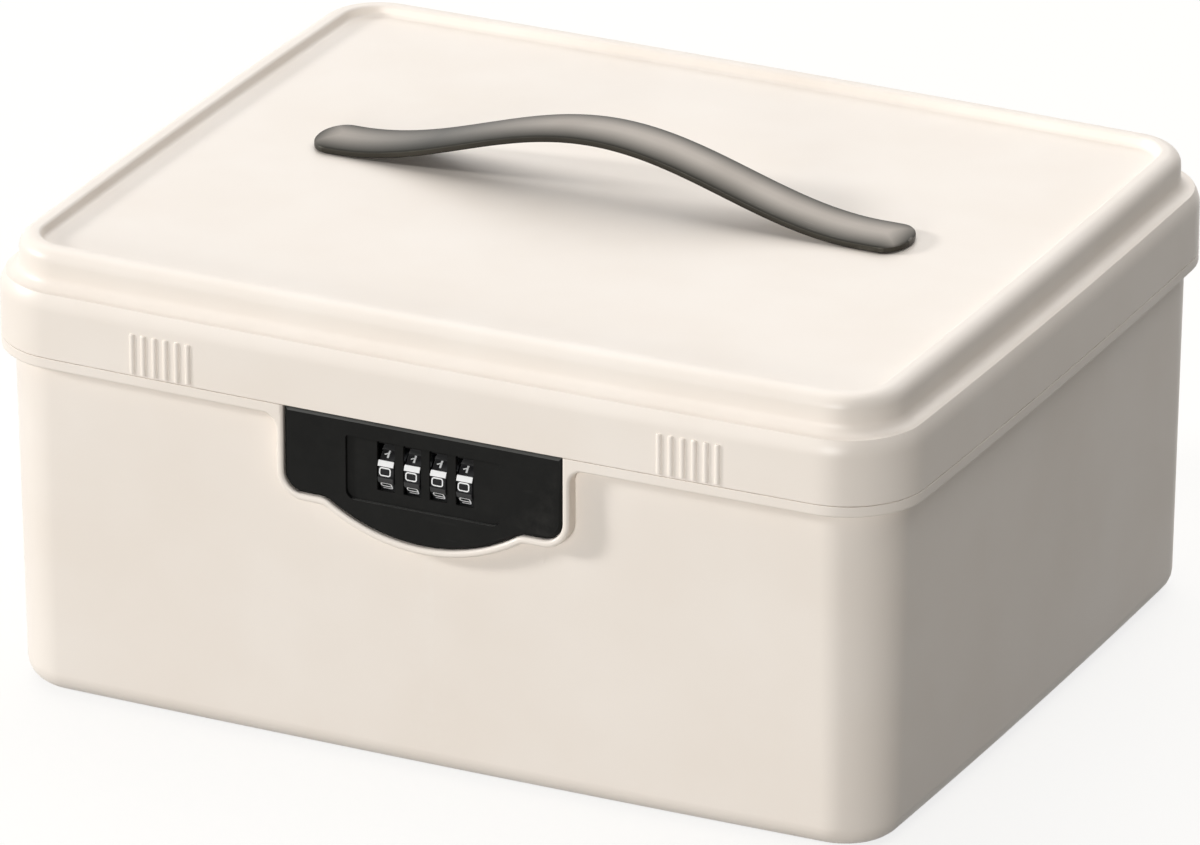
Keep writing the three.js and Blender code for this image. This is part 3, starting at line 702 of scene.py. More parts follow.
@dataclass(frozen=True)
class Finish:
    """A surface finish with grain, handling marks and rubbed edges."""

    name: str
    colour: tuple[float, float, float]
    shade: tuple[float, float, float]
    worn: tuple[float, float, float]
    roughness: float
    metallic: float = 0.0
    specular: float = 0.5
    grain_scale: float = 1800.0
    grain_height: float = 0.02
    smudge: float = 0.08
    wear: float = 0.4

    def _height(self, graph: Graph, vector: Any, grain: bpy.types.Node) -> Any:
        """Returns the relief of the surface."""
        return grain.outputs["Height"]

    def _body(self, graph: Graph, vector: Any, grain: bpy.types.Node) -> Any:
        """Returns the colour of the clean surface."""
        return graph.blend(grain.outputs["Tone"], tone(*self.colour), tone(*self.shade))

    def build(self, effects: Effects) -> bpy.types.Material:
        """Wires the material.

        Args:
            effects: The shared node groups.

        Returns:
            The finished material.
        """
        material = bpy.data.materials.new(self.name)
        graph = Graph.of(material)
        vector = graph.add("ShaderNodeTexCoord").outputs["Object"]
        grain = graph.add("ShaderNodeGroup", {"Vector": vector, "Scale": self.grain_scale},
                          node_tree=effects.grain)
        wear, marks = (graph.add("ShaderNodeGroup", {"Vector": vector}, node_tree=tree)
                       for tree in (effects.wear, effects.marks))
        body = self._body(graph, vector, grain)
        rubbed = graph.math("MULTIPLY", wear.outputs["Mask"], self.wear)
        scratched = graph.math("MULTIPLY", marks.outputs["Scratch"], self.wear * 0.5)
        touched = graph.math("MAXIMUM", rubbed, scratched)
        colour = graph.blend(touched, body, tone(*self.worn))
        smudged = graph.math("MULTIPLY_ADD", marks.outputs["Smudge"], self.smudge)
        smudged.node.inputs[2].default_value = self.roughness - self.smudge / 2.0
        relief = graph.add("ShaderNodeBump", {
            "Height": self._height(graph, vector, grain), "Strength": 1.0,
            "Distance": self.grain_height * MM})
        shader = graph.add("ShaderNodeBsdfPrincipled", {
            "Base Color": colour, "Roughness": smudged, "Metallic": self.metallic,
            "Specular IOR Level": self.specular, "Normal": relief.outputs["Normal"]})
        graph.add("ShaderNodeOutputMaterial", {"Surface": shader.outputs["BSDF"]})
        return material


@dataclass(frozen=True)
class GroovedFinish(Finish):
    """A finish with fine turned lines around the X axis."""

    pitch: float = 0.42

    def _height(self, graph: Graph, vector: Any, grain: bpy.types.Node) -> Any:
        """Adds the turned lines to the grain.

        Args:
            graph: The material's nodes.
            vector: The coordinates.
            grain: The grain's group node.

        Returns:
            The relief.
        """
        lines = graph.add("ShaderNodeTexWave", {
            "Vector": vector, "Scale": math.tau / (20.0 * self.pitch * MM),
            "Distortion": 0.6, "Detail": 1.0}, bands_direction="X")
        low = graph.math("MULTIPLY", grain.outputs["Height"], 0.4)
        return graph.math("ADD", low, lines.outputs["Fac"])


@dataclass(frozen=True)
class StrapFinish(Finish):
    """A plated strap, with painted shade round its rim and a painted dark reflection where its left
    slope rises.
    """

    middle: Point = (-0.6, 6.7)
    # Where the painted dark reflection on the left slope sits along x, and how far it reaches.
    painted_reflection_x: float = -62.0
    painted_reflection_reach: Span = (0.0, 0.042)
    # How far the painted rim shade reaches in from the sides and from the ends.
    side_reach: Span = (0.0014, 0.0109)
    end_reach: Span = (0.0975, 0.1056)
    # Colours of the painted rim shade and of the painted dark reflection, and how sharply the rim
    # shade falls off.
    rim: tuple[float, float, float] = (46, 45, 41)
    painted_dark_reflection: tuple[float, float, float] = (97, 95, 91)
    painted_rim_shade_power: float = 1.2

    def _body(self, graph: Graph, vector: Any, grain: bpy.types.Node) -> Any:
        """Paints shade round the rim and a dark reflection where the left slope rises.

        Args:
            graph: The material's nodes.
            vector: The coordinates.
            grain: The grain's group node.

        Returns:
            The colour.
        """
        place = graph.add("ShaderNodeSeparateXYZ", {"Vector": vector})
        # Distances in x from the painted dark reflection and from the middle, and in y from the
        # middle.
        painted_dark_reflection, along, across = (
            graph.math("ABSOLUTE", graph.math("SUBTRACT", place.outputs[axis], start * MM))
            for axis, start in zip("XXY", (self.painted_reflection_x, *self.middle)))
        plain = super()._body(graph, vector, grain)
        # Painted dark reflection on the left slope.
        with_painted_reflection = graph.blend(graph.spread(painted_dark_reflection, self.painted_reflection_reach), tone(*self.painted_dark_reflection), plain)
        # Painted shade round the rim, from the sides and the ends.
        painted_rim_shade = graph.math("MAXIMUM", graph.spread(across, self.side_reach),
                          graph.spread(along, self.end_reach))
        return graph.blend(graph.math("POWER", painted_rim_shade, self.painted_rim_shade_power), with_painted_reflection, tone(*self.rim))


@dataclass
class FinishSet:
    """All the materials of the object."""

    effects: Effects = field(default_factory=Effects)

    def __post_init__(self) -> None:
        """Builds each material once."""
        def build(finish: Finish) -> bpy.types.Material:
            """Wires one finish with the shared groups."""
            return finish.build(self.effects)

        self.cream = build(Finish(
            "cream_plastic", (243, 234, 224), (240, 230, 219), (246, 239, 230), 0.42,
            grain_scale=2200.0, grain_height=0.012, smudge=0.06, wear=0.2))
        self.black = build(Finish(
            "black_plastic", (29, 29, 28), (26, 26, 25), (50, 49, 47), 0.55, specular=0.06,
            grain_scale=2600.0, grain_height=0.03, smudge=0.03, wear=0.5))
        # A lighter black for the fascia's upward faces and top chamfer: a painted highlight.
        self.black_painted_highlight = build(Finish(
            "black_painted_highlight", (74, 74, 72), (66, 66, 64), (96, 96, 94), 0.5, specular=0.2,
            grain_scale=2600.0, grain_height=0.02, wear=0.4))
        self.works = build(Finish(
            "works_plastic", (46, 47, 49), (40, 41, 43), (82, 82, 82), 0.5,
            grain_scale=1500.0, grain_height=0.02, wear=0.4))
        self.wheel = build(GroovedFinish(
            "wheel_plastic", (44, 44, 45), (38, 38, 39), (104, 104, 104), 0.5, specular=0.06,
            grain_scale=3000.0, grain_height=0.05, wear=0.6))
        self.bar = build(Finish(
            "wheel_bar", (66, 66, 66), (58, 58, 58), (120, 120, 120), 0.5, specular=0.1,
            grain_scale=3000.0, grain_height=0.02, wear=0.5))
        # White for the digits' print and for the painted highlight on the bar above each zero.
        self.paint = build(Finish(
            "white_print_and_painted_highlight", (250, 250, 250), (244, 244, 243), (225, 225, 224), 0.4,
            specular=0.1, grain_scale=4000.0, grain_height=0.01, wear=0.2))
        # Gunmetal with painted rim shade and a painted dark reflection on the left slope.
        self.gunmetal = build(StrapFinish(
            "gunmetal", (144, 138, 131), (137, 131, 124), (163, 157, 150), 0.62, metallic=1.0,
            grain_scale=3000.0, grain_height=0.02, smudge=0.08, wear=0.3))
        # A darker copy of the gunmetal for the strap's sides: painted shade.
        self.gunmetal_painted_side_shade = build(Finish(
            "gunmetal_painted_side_shade", (66, 64, 58), (56, 54, 50), (120, 117, 110), 0.4, metallic=1.0,
            grain_scale=3000.0, grain_height=0.02, wear=0.3))
        self.zinc = build(Finish(
            "zinc", (150, 152, 156), (138, 140, 143), (196, 198, 200), 0.42, metallic=1.0,
            grain_scale=1200.0, grain_height=0.02, wear=0.5))
        self.steel = build(Finish(
            "steel", (184, 186, 190), (172, 174, 177), (214, 215, 218), 0.3, metallic=1.0,
            grain_scale=2400.0, grain_height=0.01, wear=0.4))


# Shared plans and places

@dataclass(frozen=True)
class BoxPlan:
    """Plan of the box: a rounded rectangle whose walls bow out a little."""

    width: float = 320.0
    depth: float = 259.9
    bow: float = 1.9
    corner: float = 25.5
    smallest_corner: float = 3.0
    corner_steps: int = 14
    wall_steps: int = 17

    def bow_at(self, along: float, span: float) -> float:
        """Returns how far a wall stands out at a place along it."""
        return self.bow * (1.0 - (along / (span / 2.0)) ** 2)

    def front_at(self, x: float) -> float:
        """Returns the y of the lid skirt's front at a place across the box."""
        return -(self.depth / 2.0 + self.bow_at(x, self.width))

    def ring(self, inset: float, z: float) -> list[Vector]:
        """Returns the outline at one level, inset from the lid skirt.

        Args:
            inset: How far inside the skirt it runs.
            z: Its height.

        Returns:
            The points, anticlockwise.
        """
        radius = max(self.corner - inset, self.smallest_corner)
        x, y = (size / 2.0 - inset - radius for size in (self.width, self.depth))
        corners = [((x, -y), -90.0), ((x, y), 0.0), ((-x, y), 90.0), ((-x, -y), 180.0)]
        arcs = [arc(centre, radius, math.radians(start), math.radians(start + 90.0),
                    self.corner_steps) for centre, start in corners]
        plan: list[Point] = []
        for k, points in enumerate(arcs):
            (x0, y0), (x1, y1) = points[-1], arcs[(k + 1) % 4][0]
            plan += points
            plan += [(x0 + (x1 - x0) * t / (self.wall_steps + 1),
                      y0 + (y1 - y0) * t / (self.wall_steps + 1))
                     for t in range(1, self.wall_steps + 1)]
        return [Vector((
            x * (1.0 + self.bow_at(y, self.depth) / (self.width / 2.0)),
            y * (1.0 + self.bow_at(x, self.width) / (self.depth / 2.0)),
            z)) for x, y in plan]

    def shell(self, profile: Sequence[Vector]) -> Body:
        """Carries a profile of insets and heights round the box."""
        return Body.loft([self.ring(p.x, p.y) for p in profile])


@dataclass
class Levels:
    """Heights and faces that several sub-assemblies share."""

    plan: BoxPlan = BoxPlan()
    seam: float = 120.0
    seam_gap: float = 0.3
    wall: float = 2.5
    seat: float = 0.3
    running: float = 0.4
    lip_height: float = 3.7
    lip_overhang: float = 4.6
    rim_top: float = 154.0
    panel_top: float = 150.7

    def __post_init__(self) -> None:
        """Works out the heights of the edges, the frontmost y and the inset of the inner wall."""
        self.tub_top = self.seam - self.seam_gap / 2.0
        self.lid_bottom = self.seam + self.seam_gap / 2.0
        self.lip_bottom = self.tub_top - self.lip_height
        self.ceiling = self.panel_top - self.wall
        self.front = self.plan.front_at(0.0)
        self.wall_inset = self.lip_overhang + self.wall


@dataclass
class LockPlan:
    """Outlines and places of the lock on the front of the tub."""

    levels: Levels
    half_width: float = 48.6
    shoulder: float = 28.6
    lobe_depth: float = 39.2
    lobe_radius: float = 60.0
    corner: float = 6.5
    ogee: float = 8.0
    rim: float = 2.7
    blend: float = 5.0
    thickness: float = 2.4
    plate_width: float = 53.4
    plate_height: float = 21.0
    plate_drop: float = 6.3
    plate_corners: Span = (3.0, 0.8)
    plate_recess: float = 1.2
    flange_margin: float = 3.0
    wheel_radius: float = 9.2
    wheel_width: float = 5.5
    wheel_pitch: float = 9.18
    wheel_shift: float = 0.35
    wheel_proud: float = 0.7
    axle_drop: float = 17.8
    window_above: float = 10.7
    window_below: float = 5.9
    pad_proud: float = 0.75
    apron_sink: float = 0.25
    fascia_sink: float = 0.7

    def __post_init__(self) -> None:
        """Works out the places that follow from the sizes."""
        levels = self.levels
        # Along y: fronts of the apron, the fascia, the dial plate and its flange, and the pad.
        self.apron_face = levels.front + self.apron_sink
        self.face = self.apron_face + self.fascia_sink
        self.back = self.face + self.thickness
        self.plate_face = self.face + self.plate_recess
        self.flange_face = self.back + levels.seat
        self.pad_face = levels.front + levels.wall_inset + self.pad_proud
        # Along z: the fascia's top edge, and bottom and top of the dial plate and its flange.
        self.top = levels.tub_top - levels.seat
        high = self.top - self.plate_drop
        self.plate_high = (high - self.plate_height, high)
        self.flange_high = (self.plate_high[0] - self.flange_margin, high + self.flange_margin)
        # Along x: half the flange, and the middle of each wheel.
        self.flange_half = self.plate_width / 2.0 + self.flange_margin
        self.wheels = [(k - 1.5) * self.wheel_pitch + self.wheel_shift for k in range(4)]
        # The y and z of the wheels' axle.
        self.axle = (self.plate_face - self.wheel_proud + self.wheel_radius,
                     levels.seam - self.axle_drop)

    def outline(self, margin: float, top: float) -> list[Point]:
        """Returns the fascia's outline grown by a margin, open side up.

        Args:
            margin: How far it is grown.
            top: The height of its open side.

        Returns:
            The points, from the left end of the top to the right.
        """
        half, shoulder = self.half_width + margin, self.top - self.shoulder - margin
        corner, lobe, ogee = self.corner + margin, self.lobe_radius + margin, self.ogee - margin
        lobe_z = self.top - self.lobe_depth + self.lobe_radius
        ogee_z = shoulder - ogee
        ogee_x = math.sqrt((lobe + ogee) ** 2 - (lobe_z - ogee_z) ** 2)
        meet = math.atan2(lobe_z - ogee_z, ogee_x)
        right = arc((0.0, lobe_z), lobe, 1.5 * math.pi, 2.0 * math.pi - meet, 26)
        right += arc((ogee_x, ogee_z), ogee, math.pi - meet, 0.5 * math.pi, 7)[1:]
        right += arc((half - corner, shoulder + corner), corner, 1.5 * math.pi, math.tau, 9)
        right.append((half, top))
        left = [(-x, z) for x, z in reversed(right)]
        return left[:-1] + right

    def apron_outline(self, margin: float) -> list[Point]:
        """Returns the apron's outline, blended into the lip.

        Args:
            margin: How far it stands outside the fascia.

        Returns:
            The points, from left to right.
        """
        plain = self.outline(margin, self.levels.tub_top)
        edge = self.half_width + self.rim + self.blend
        radius = self.blend + self.rim - margin
        left = arc((-edge, self.levels.lip_bottom - self.blend), radius, 0.5 * math.pi, 0.0, 8)
        right = [(-x, z) for x, z in reversed(left)]
        return ([(-edge, self.levels.tub_top)] + left + plain[1:-1] + right
                + [(edge, self.levels.tub_top)])


# Sub-assemblies

@dataclass
class Hinges:
    """The two pinned hinges along the back."""

    levels: Levels
    offset: float = 85.0
    radius: float = 4.0
    lid_length: float = 16.0
    tub_length: float = 7.0
    pin_radius: float = 1.5
    pin_head: Span = (1.0, 2.6)
    pin_play: float = 0.3
    axis_drop: float = 1.6
    barrel_rounding: float = 0.35
    web_rounding: float = 0.3
    tub_web_drop: float = 12.0
    tub_web_low: float = 3.5
    lid_web_rise: float = 14.0
    lid_web_edge: float = 3.4
    lid_web_top: Point = (2.6, 3.0)
    weld: float = 0.01

    def __post_init__(self) -> None:
        """Works out half the length of a hinge, its middles along x and its line in y and z."""
        plan, running = self.levels.plan, self.levels.running
        self.reach = self.lid_length / 2.0 + running + self.tub_length
        self.middles = [side.value * self.offset for side in Side]
        wall = plan.depth / 2.0 + plan.bow_at(self.offset - self.reach, plan.width)
        self.axis = (wall + self.radius + running, self.levels.seam - self.axis_drop)

    def knuckle(self, span: Span, web: Sequence[Point]) -> Body:
        """Returns a barrel with the web that carries it.

        Args:
            span: Its two ends in x.
            web: The web's outline in y and z.

        Returns:
            The knuckle.
        """
        barrel = Body.rod(Axis.X, self.radius, span, self.axis, self.barrel_rounding)
        inner = (span[0] + self.weld, span[1] - self.weld)
        return barrel.add(Body.plate(web, Axis.X, inner).soften(self.web_rounding, 2, 20.0))

    def bores(self) -> list[Body]:
        """Returns the tools that bore both hinges.

        Returns:
            One rod for each hinge.
        """
        return [Body.rod(Axis.X, self.pin_radius + self.levels.seat,
                         (x - self.reach - PAST, x + self.reach + PAST), self.axis)
                for x in self.middles]

    def on_tub(self) -> list[Body]:
        """Returns the tub's four knuckles.

        Returns:
            The knuckles, from the left.
        """
        levels, (y, z) = self.levels, self.axis
        inner = levels.plan.depth / 2.0 - levels.wall_inset + PAST
        web = [(inner, levels.lip_bottom - self.tub_web_drop), (y, z - self.tub_web_low),
               (y, levels.tub_top), (inner, levels.tub_top)]
        places = [x + end * (self.reach - self.tub_length / 2.0)
                  for x in self.middles for end in (-1, 1)]
        half = self.tub_length / 2.0
        return [self.knuckle((place - half, place + half), web) for place in places]

    def on_lid(self) -> list[Body]:
        """Returns the lid's two knuckles.

        Returns:
            The knuckles, from the left.
        """
        levels, (y, z) = self.levels, self.axis
        inner, half = levels.plan.depth / 2.0 - levels.wall / 2.0, self.lid_length / 2.0
        web = [(inner, levels.lid_bottom), (y - self.lid_web_edge, levels.lid_bottom), (y, z),
               (y + self.lid_web_top[0], z + self.lid_web_top[1]),
               (inner, levels.lid_bottom + self.lid_web_rise)]
        return [self.knuckle((x - half, x + half), web) for x in self.middles]

    def dress(self, finishes: FinishSet) -> None:
        """Makes the two pins.

        Args:
            finishes: The materials of the object.
        """
        (head, rim), pin, start = self.pin_head, self.pin_radius, self.reach + self.pin_play
        corners = [(-self.reach, 0.0), (-self.reach, pin), (start, pin), (start, rim),
                   (start + head, rim), (start + head, 0.0)]
        line = rounded(corners, [0.0, 0.4, 0.0, 0.1, 0.5, 0.0], 4)
        for side, middle in zip(Side, self.middles):
            body = Body.turned([(middle + side.value * p.x, p.y) for p in line], Axis.X,
                               self.axis, 32)
            Piece.of_node(f"hinge_pin_{side.label}", "tub", Slot.STEEL).finish(
                body, finishes.steel)


@dataclass
class Tub:
    """The deep lower half, with the lip, the lock's apron and the hinge knuckles."""

    levels: Levels
    lock: LockPlan
    hinges: Hinges
    floor: float = 2.8
    taper: float = 2.2
    foot: float = 8.0
    upstand: float = 4.0
    upstand_wall: float = 2.0
    base_recess: float = 0.7
    base_ring: Span = (13.4, 15.0)
    floor_ring: float = 14.0
    seam_fill: float = 0.09
    apron_rounding: float = 1.1
    pocket_rounding: float = 1.0
    pad_side: float = 10.5
    pad_low: float = 8.5
    pad_high: float = 2.1

    def shell(self) -> Body:
        """Returns the wall, the floor, the lip and the upstand inside it.

        Returns:
            The shell.
        """
        levels = self.levels
        wall = levels.lip_overhang + self.taper
        inner = levels.wall_inset
        stand, crest = inner - self.upstand_wall, levels.tub_top + self.upstand
        top = levels.tub_top + self.seam_fill
        corners = [
            (wall + self.base_ring[1], self.base_recess), (wall + self.base_ring[0], 0.0),
            (wall, 0.0), (levels.lip_overhang, levels.lip_bottom), (0.0, levels.lip_bottom),
            (0.0, top), (stand, top), (stand, crest), (inner, crest),
            (inner, levels.lip_bottom), (wall + levels.wall, self.floor),
            (wall + levels.wall + self.floor_ring, self.floor)]
        radii = [0.0, 0.4, self.foot, 0.3, 0.9, 0.25, 0.2, 0.5, 0.5, 0.0,
                 self.foot - levels.wall, 0.0]
        return levels.plan.shell(rounded(corners, radii, 6))

    def _quarter(self, rounding: float, steps: int = 4) -> list[Span]:
        """Works out a rounded edge at the apron's face.

        Args:
            rounding: The edge's radius.
            steps: How many steps it has.

        Returns:
            The y and the inset at each step.
        """
        angles = [0.5 * math.pi * k / steps for k in range(steps + 1)]
        return [(self.lock.apron_face + rounding * (1.0 - math.cos(angle)),
                 rounding * (1.0 - math.sin(angle))) for angle in angles]

    def apron(self) -> Body:
        """Returns the raised ground of the lock, its front edge rounded.

        Returns:
            The apron.
        """
        lock = self.lock
        steps = self._quarter(self.apron_rounding) + [(lock.pad_face - PAST, 0.0)]
        return Body.stacked(Axis.Y, [(y, lock.apron_outline(lock.rim - inset))
                                     for y, inset in steps])

    def pocket(self) -> Body:
        """Returns the tool that sinks the fascia's bed, with a rounded mouth.

        Returns:
            The tool.
        """
        lock, seat, high = self.lock, self.levels.seat, self.levels.tub_top + self.upstand + PAST
        steps = [(lock.apron_face - 3.0 * PAST, self.pocket_rounding),
                 *self._quarter(self.pocket_rounding), (lock.flange_face, 0.0)]
        return Body.stacked(Axis.Y, [(y, lock.outline(seat + grow, high)) for y, grow in steps])

    def dress(self, finishes: FinishSet) -> None:
        """Builds the tub and finishes it.

        Args:
            finishes: The materials of the object.
        """
        lock, levels = self.lock, self.levels
        (low, high), half, seat = lock.flange_high, lock.flange_half, levels.seat
        pad = Body.block((-half - self.pad_side, half + self.pad_side),
                         (lock.pad_face - levels.wall, lock.pad_face),
                         (low - self.pad_low, high + self.pad_high))
        doorway = Body.block((-half - seat, half + seat),
                             (levels.front - PAST, lock.pad_face + PAST), (low - seat, high + seat))
        body = self.shell().add(self.apron(), pad, *self.hinges.on_tub())
        body.cut(self.pocket(), doorway, *self.hinges.bores())
        Piece("tub", "tub", Slot.CREAM, ("tub_shell",)).finish(body, finishes.cream)


@dataclass
class StrapHandle:
    """The arched metal strap on the lid."""

    levels: Levels
    middle: Point = (-0.6, 6.7)
    length: float = 211.2
    width: float = 21.8
    tip: float = 7.5
    thickness: float = 3.2
    edge: float = 2.1
    edge_rounding: float = 0.45
    flat_left: float = 9.3
    flat_right: float = 14.4
    rise: float = 18.85
    crown_power: float = 3.2
    screw_inset: float = 11.0
    stations: int = 96
    end_steps: int = 20
    insets: Sequence[float] = (0.35, 0.5, 0.7, 0.9, 1.1)
    lengthwise_cuts: Sequence[float] = (-5.4, -3.6, -1.8, 0.0, 1.8, 3.6, 5.4)
    end_cuts: Sequence[float] = (1.2, 2.4)

    def __post_init__(self) -> None:
        """Works out half the straight sides, and the x and y of the two screws."""
        self.straight = self.length / 2.0 - self.tip
        reach = self.length / 2.0 - self.screw_inset
        self.screw_places = [(self.middle[0] + side.value * reach, self.middle[1])
                             for side in Side]

    def lift(self, x: float) -> float:
        """Returns how far the strap's arch stands up at a place along it.

        Args:
            x: The place, from the strap's middle.

        Returns:
            The height.
        """
        span = self.length - self.flat_left - self.flat_right
        along = x - (self.flat_left - self.flat_right) / 2.0
        if abs(along) >= span / 2.0:
            return 0.0
        return self.rise * (0.5 + 0.5 * math.cos(math.tau * along / span))

    def outline(self) -> list[Point]:
        """Returns the strap's plan, a bar with blunt round ends.

        Returns:
            The points.
        """
        half = self.width / 2.0
        side = [self.straight * (1.0 - 2.0 * k / self.stations) for k in range(1, self.stations)]
        end = arc((0.0, 0.0), 1.0, -0.5 * math.pi, 0.5 * math.pi, self.end_steps)
        upper = [(self.straight + self.tip * x, half * y) for x, y in end]
        upper += [(x, half) for x in side]
        return upper + [(-x, -y) for x, y in upper]

    def dress(self, finishes: FinishSet) -> None:
        """Builds the strap flat, crowns it and bends it.

        Args:
            finishes: The materials of the object.
        """
        half, straight = self.width / 2.0, self.straight
        body = Body.plate(self.outline(), Axis.Z, (0.0, self.edge))
        work = body.mesh
        # Side faces take the second slot, the darker gunmetal that paints shade on the sides.
        for face in work.faces:
            face.material_index = int(abs(face.normal.z) < 0.5)
        top = max(work.faces, key=lambda face: face.calc_center_median().z)
        bottom = min(work.faces, key=lambda face: face.calc_center_median().z)
        rims = [edge for face in (top, bottom) for edge in face.edges]
        bmesh.ops.bevel(work, geom=rims, offset=self.edge_rounding, offset_type="OFFSET",
                        affect="EDGES", segments=3, profile=0.5, material=-1, clamp_overlap=True)
        top = max(work.faces, key=lambda face: (len(face.verts), face.calc_center_median().z))
        for inset in self.insets:
            bmesh.ops.inset_region(work, faces=[top], thickness=inset, use_even_offset=True)
        cuts = [(Axis.X, straight * (1.0 - 2.0 * k / self.stations))
                for k in range(self.stations + 1)]
        cuts += [(Axis.X, side.value * (straight + reach))
                 for side in Side for reach in self.end_cuts]
        cuts += [(Axis.Y, y) for y in self.lengthwise_cuts]
        for axis, place in cuts:
            bmesh.ops.bisect_plane(work, geom=[*work.verts, *work.edges, *work.faces],
                                   dist=1e-3, plane_co=axis.vector() * place,
                                   plane_no=axis.vector())
        under = self.levels.panel_top + self.levels.seat
        for vert in work.verts:
            x, y, h = vert.co
            reach = math.hypot(max(abs(x) - straight, 0.0) / self.tip, y / half)
            if h > self.edge - 0.01:
                h += (self.thickness - self.edge) * (1.0 - min(reach, 1.0) ** self.crown_power)
            slope = (self.lift(x + 0.05) - self.lift(x - 0.05)) / 0.1
            across = Vector((-slope, 0.0, 1.0)).normalized()
            middle = Vector((self.middle[0] + x, self.middle[1] + y,
                             under + self.thickness / 2.0 + self.lift(x)))
            vert.co = middle + across * (h - self.thickness / 2.0)
        Piece("strap_handle", "lid", Slot.GUNMETAL, ("handle",), sharp=50.0).finish(
            body, finishes.gunmetal, finishes.gunmetal_painted_side_shade)


@dataclass
class Lid:
    """The lid, with its stepped skirt, raised rim and sunken panel."""

    levels: Levels
    hinges: Hinges
    strap: StrapHandle
    seam_fill: float = 0.09
    rib_count: int = 6
    rib_pitch: float = 3.98
    rib_offset: float = 92.3
    rib_width: float = 2.0
    rib_lift: float = 0.55
    rib_height: float = 14.2
    rib_proud: float = 0.65
    rib_rounding: float = 0.45
    boss_places: Sequence[Point] = ((-13.0, -102.2), (13.0, -102.2))
    boss_radius: float = 3.5
    boss_drop: float = 8.1
    boss_rounding: float = 0.3
    pilot_radius: float = 1.4
    pilot_end: float = 0.6
    screw_hole_radius: float = 2.2

    def shell(self) -> Body:
        """Returns the lid's shell: a skirt, a crease, a flare to the rim and a sunken panel.

        Returns:
            The shell.
        """
        levels = self.levels
        wall, bottom = levels.wall, levels.lid_bottom - self.seam_fill
        shoulder, crease, ledge = 138.85, 141.5, 141.8
        rim, panel = levels.rim_top, levels.panel_top
        # From the ceiling down the inside, round the bottom edge and up the outside.
        corners = [
            (11.5, levels.ceiling), (11.2, rim - wall), (8.9, rim - wall), (8.7, ledge - 2.35),
            (3.15, crease - 2.4), (wall, shoulder - 0.75), (wall, bottom), (0.0, bottom),
            (0.0, shoulder), (1.7, crease), (6.2, ledge), (6.4, rim), (13.3, rim),
            (14.4, panel), (17.0, panel)]
        radii = [0.0, 0.3, 1.9, 1.9, 0.5, 1.5, 0.4, 0.3, 10.2, 0.15, 3.8, 4.5, 1.2, 1.7, 0.0]
        return levels.plan.shell(rounded(corners, radii, 7))

    def ribs(self) -> Body:
        """Returns the finger ribs on the front of the skirt.

        Returns:
            The ribs of both groups.
        """
        levels = self.levels
        radius = self.rib_width ** 2 / (8.0 * self.rib_proud) + self.rib_proud / 2.0
        span = (levels.lid_bottom + self.rib_lift, levels.lid_bottom + self.rib_height)
        ribs = []
        for side in Side:
            for k in range(self.rib_count):
                x = side.value * self.rib_offset + (k - (self.rib_count - 1) / 2.0) * self.rib_pitch
                y = levels.plan.front_at(x) + radius - self.rib_proud
                ribs.append(Body.rod(Axis.Z, radius, span, (x, y), self.rib_rounding, 32))
        return ribs[0].merged(*ribs[1:])

    def dress(self, finishes: FinishSet) -> None:
        """Builds the lid and finishes it.

        Args:
            finishes: The materials of the object.
        """
        ceiling = self.levels.ceiling
        bosses = [Body.rod(Axis.Z, self.boss_radius, (ceiling - self.boss_drop, ceiling + PAST),
                           place, self.boss_rounding) for place in self.boss_places]
        body = self.shell().add(self.ribs(), *self.hinges.on_lid(), *bosses)
        holes = [Body.rod(Axis.Z, self.pilot_radius,
                          (ceiling - self.boss_drop - PAST, ceiling + self.pilot_end), place)
                 for place in self.boss_places]
        holes += [Body.rod(Axis.Z, self.screw_hole_radius,
                           (ceiling - PAST, self.levels.panel_top + PAST), place)
                  for place in self.strap.screw_places]
        body.cut(*holes, *self.hinges.bores())
        Piece("lid", "lid", Slot.CREAM, ("lid_shell",)).finish(body, finishes.cream)


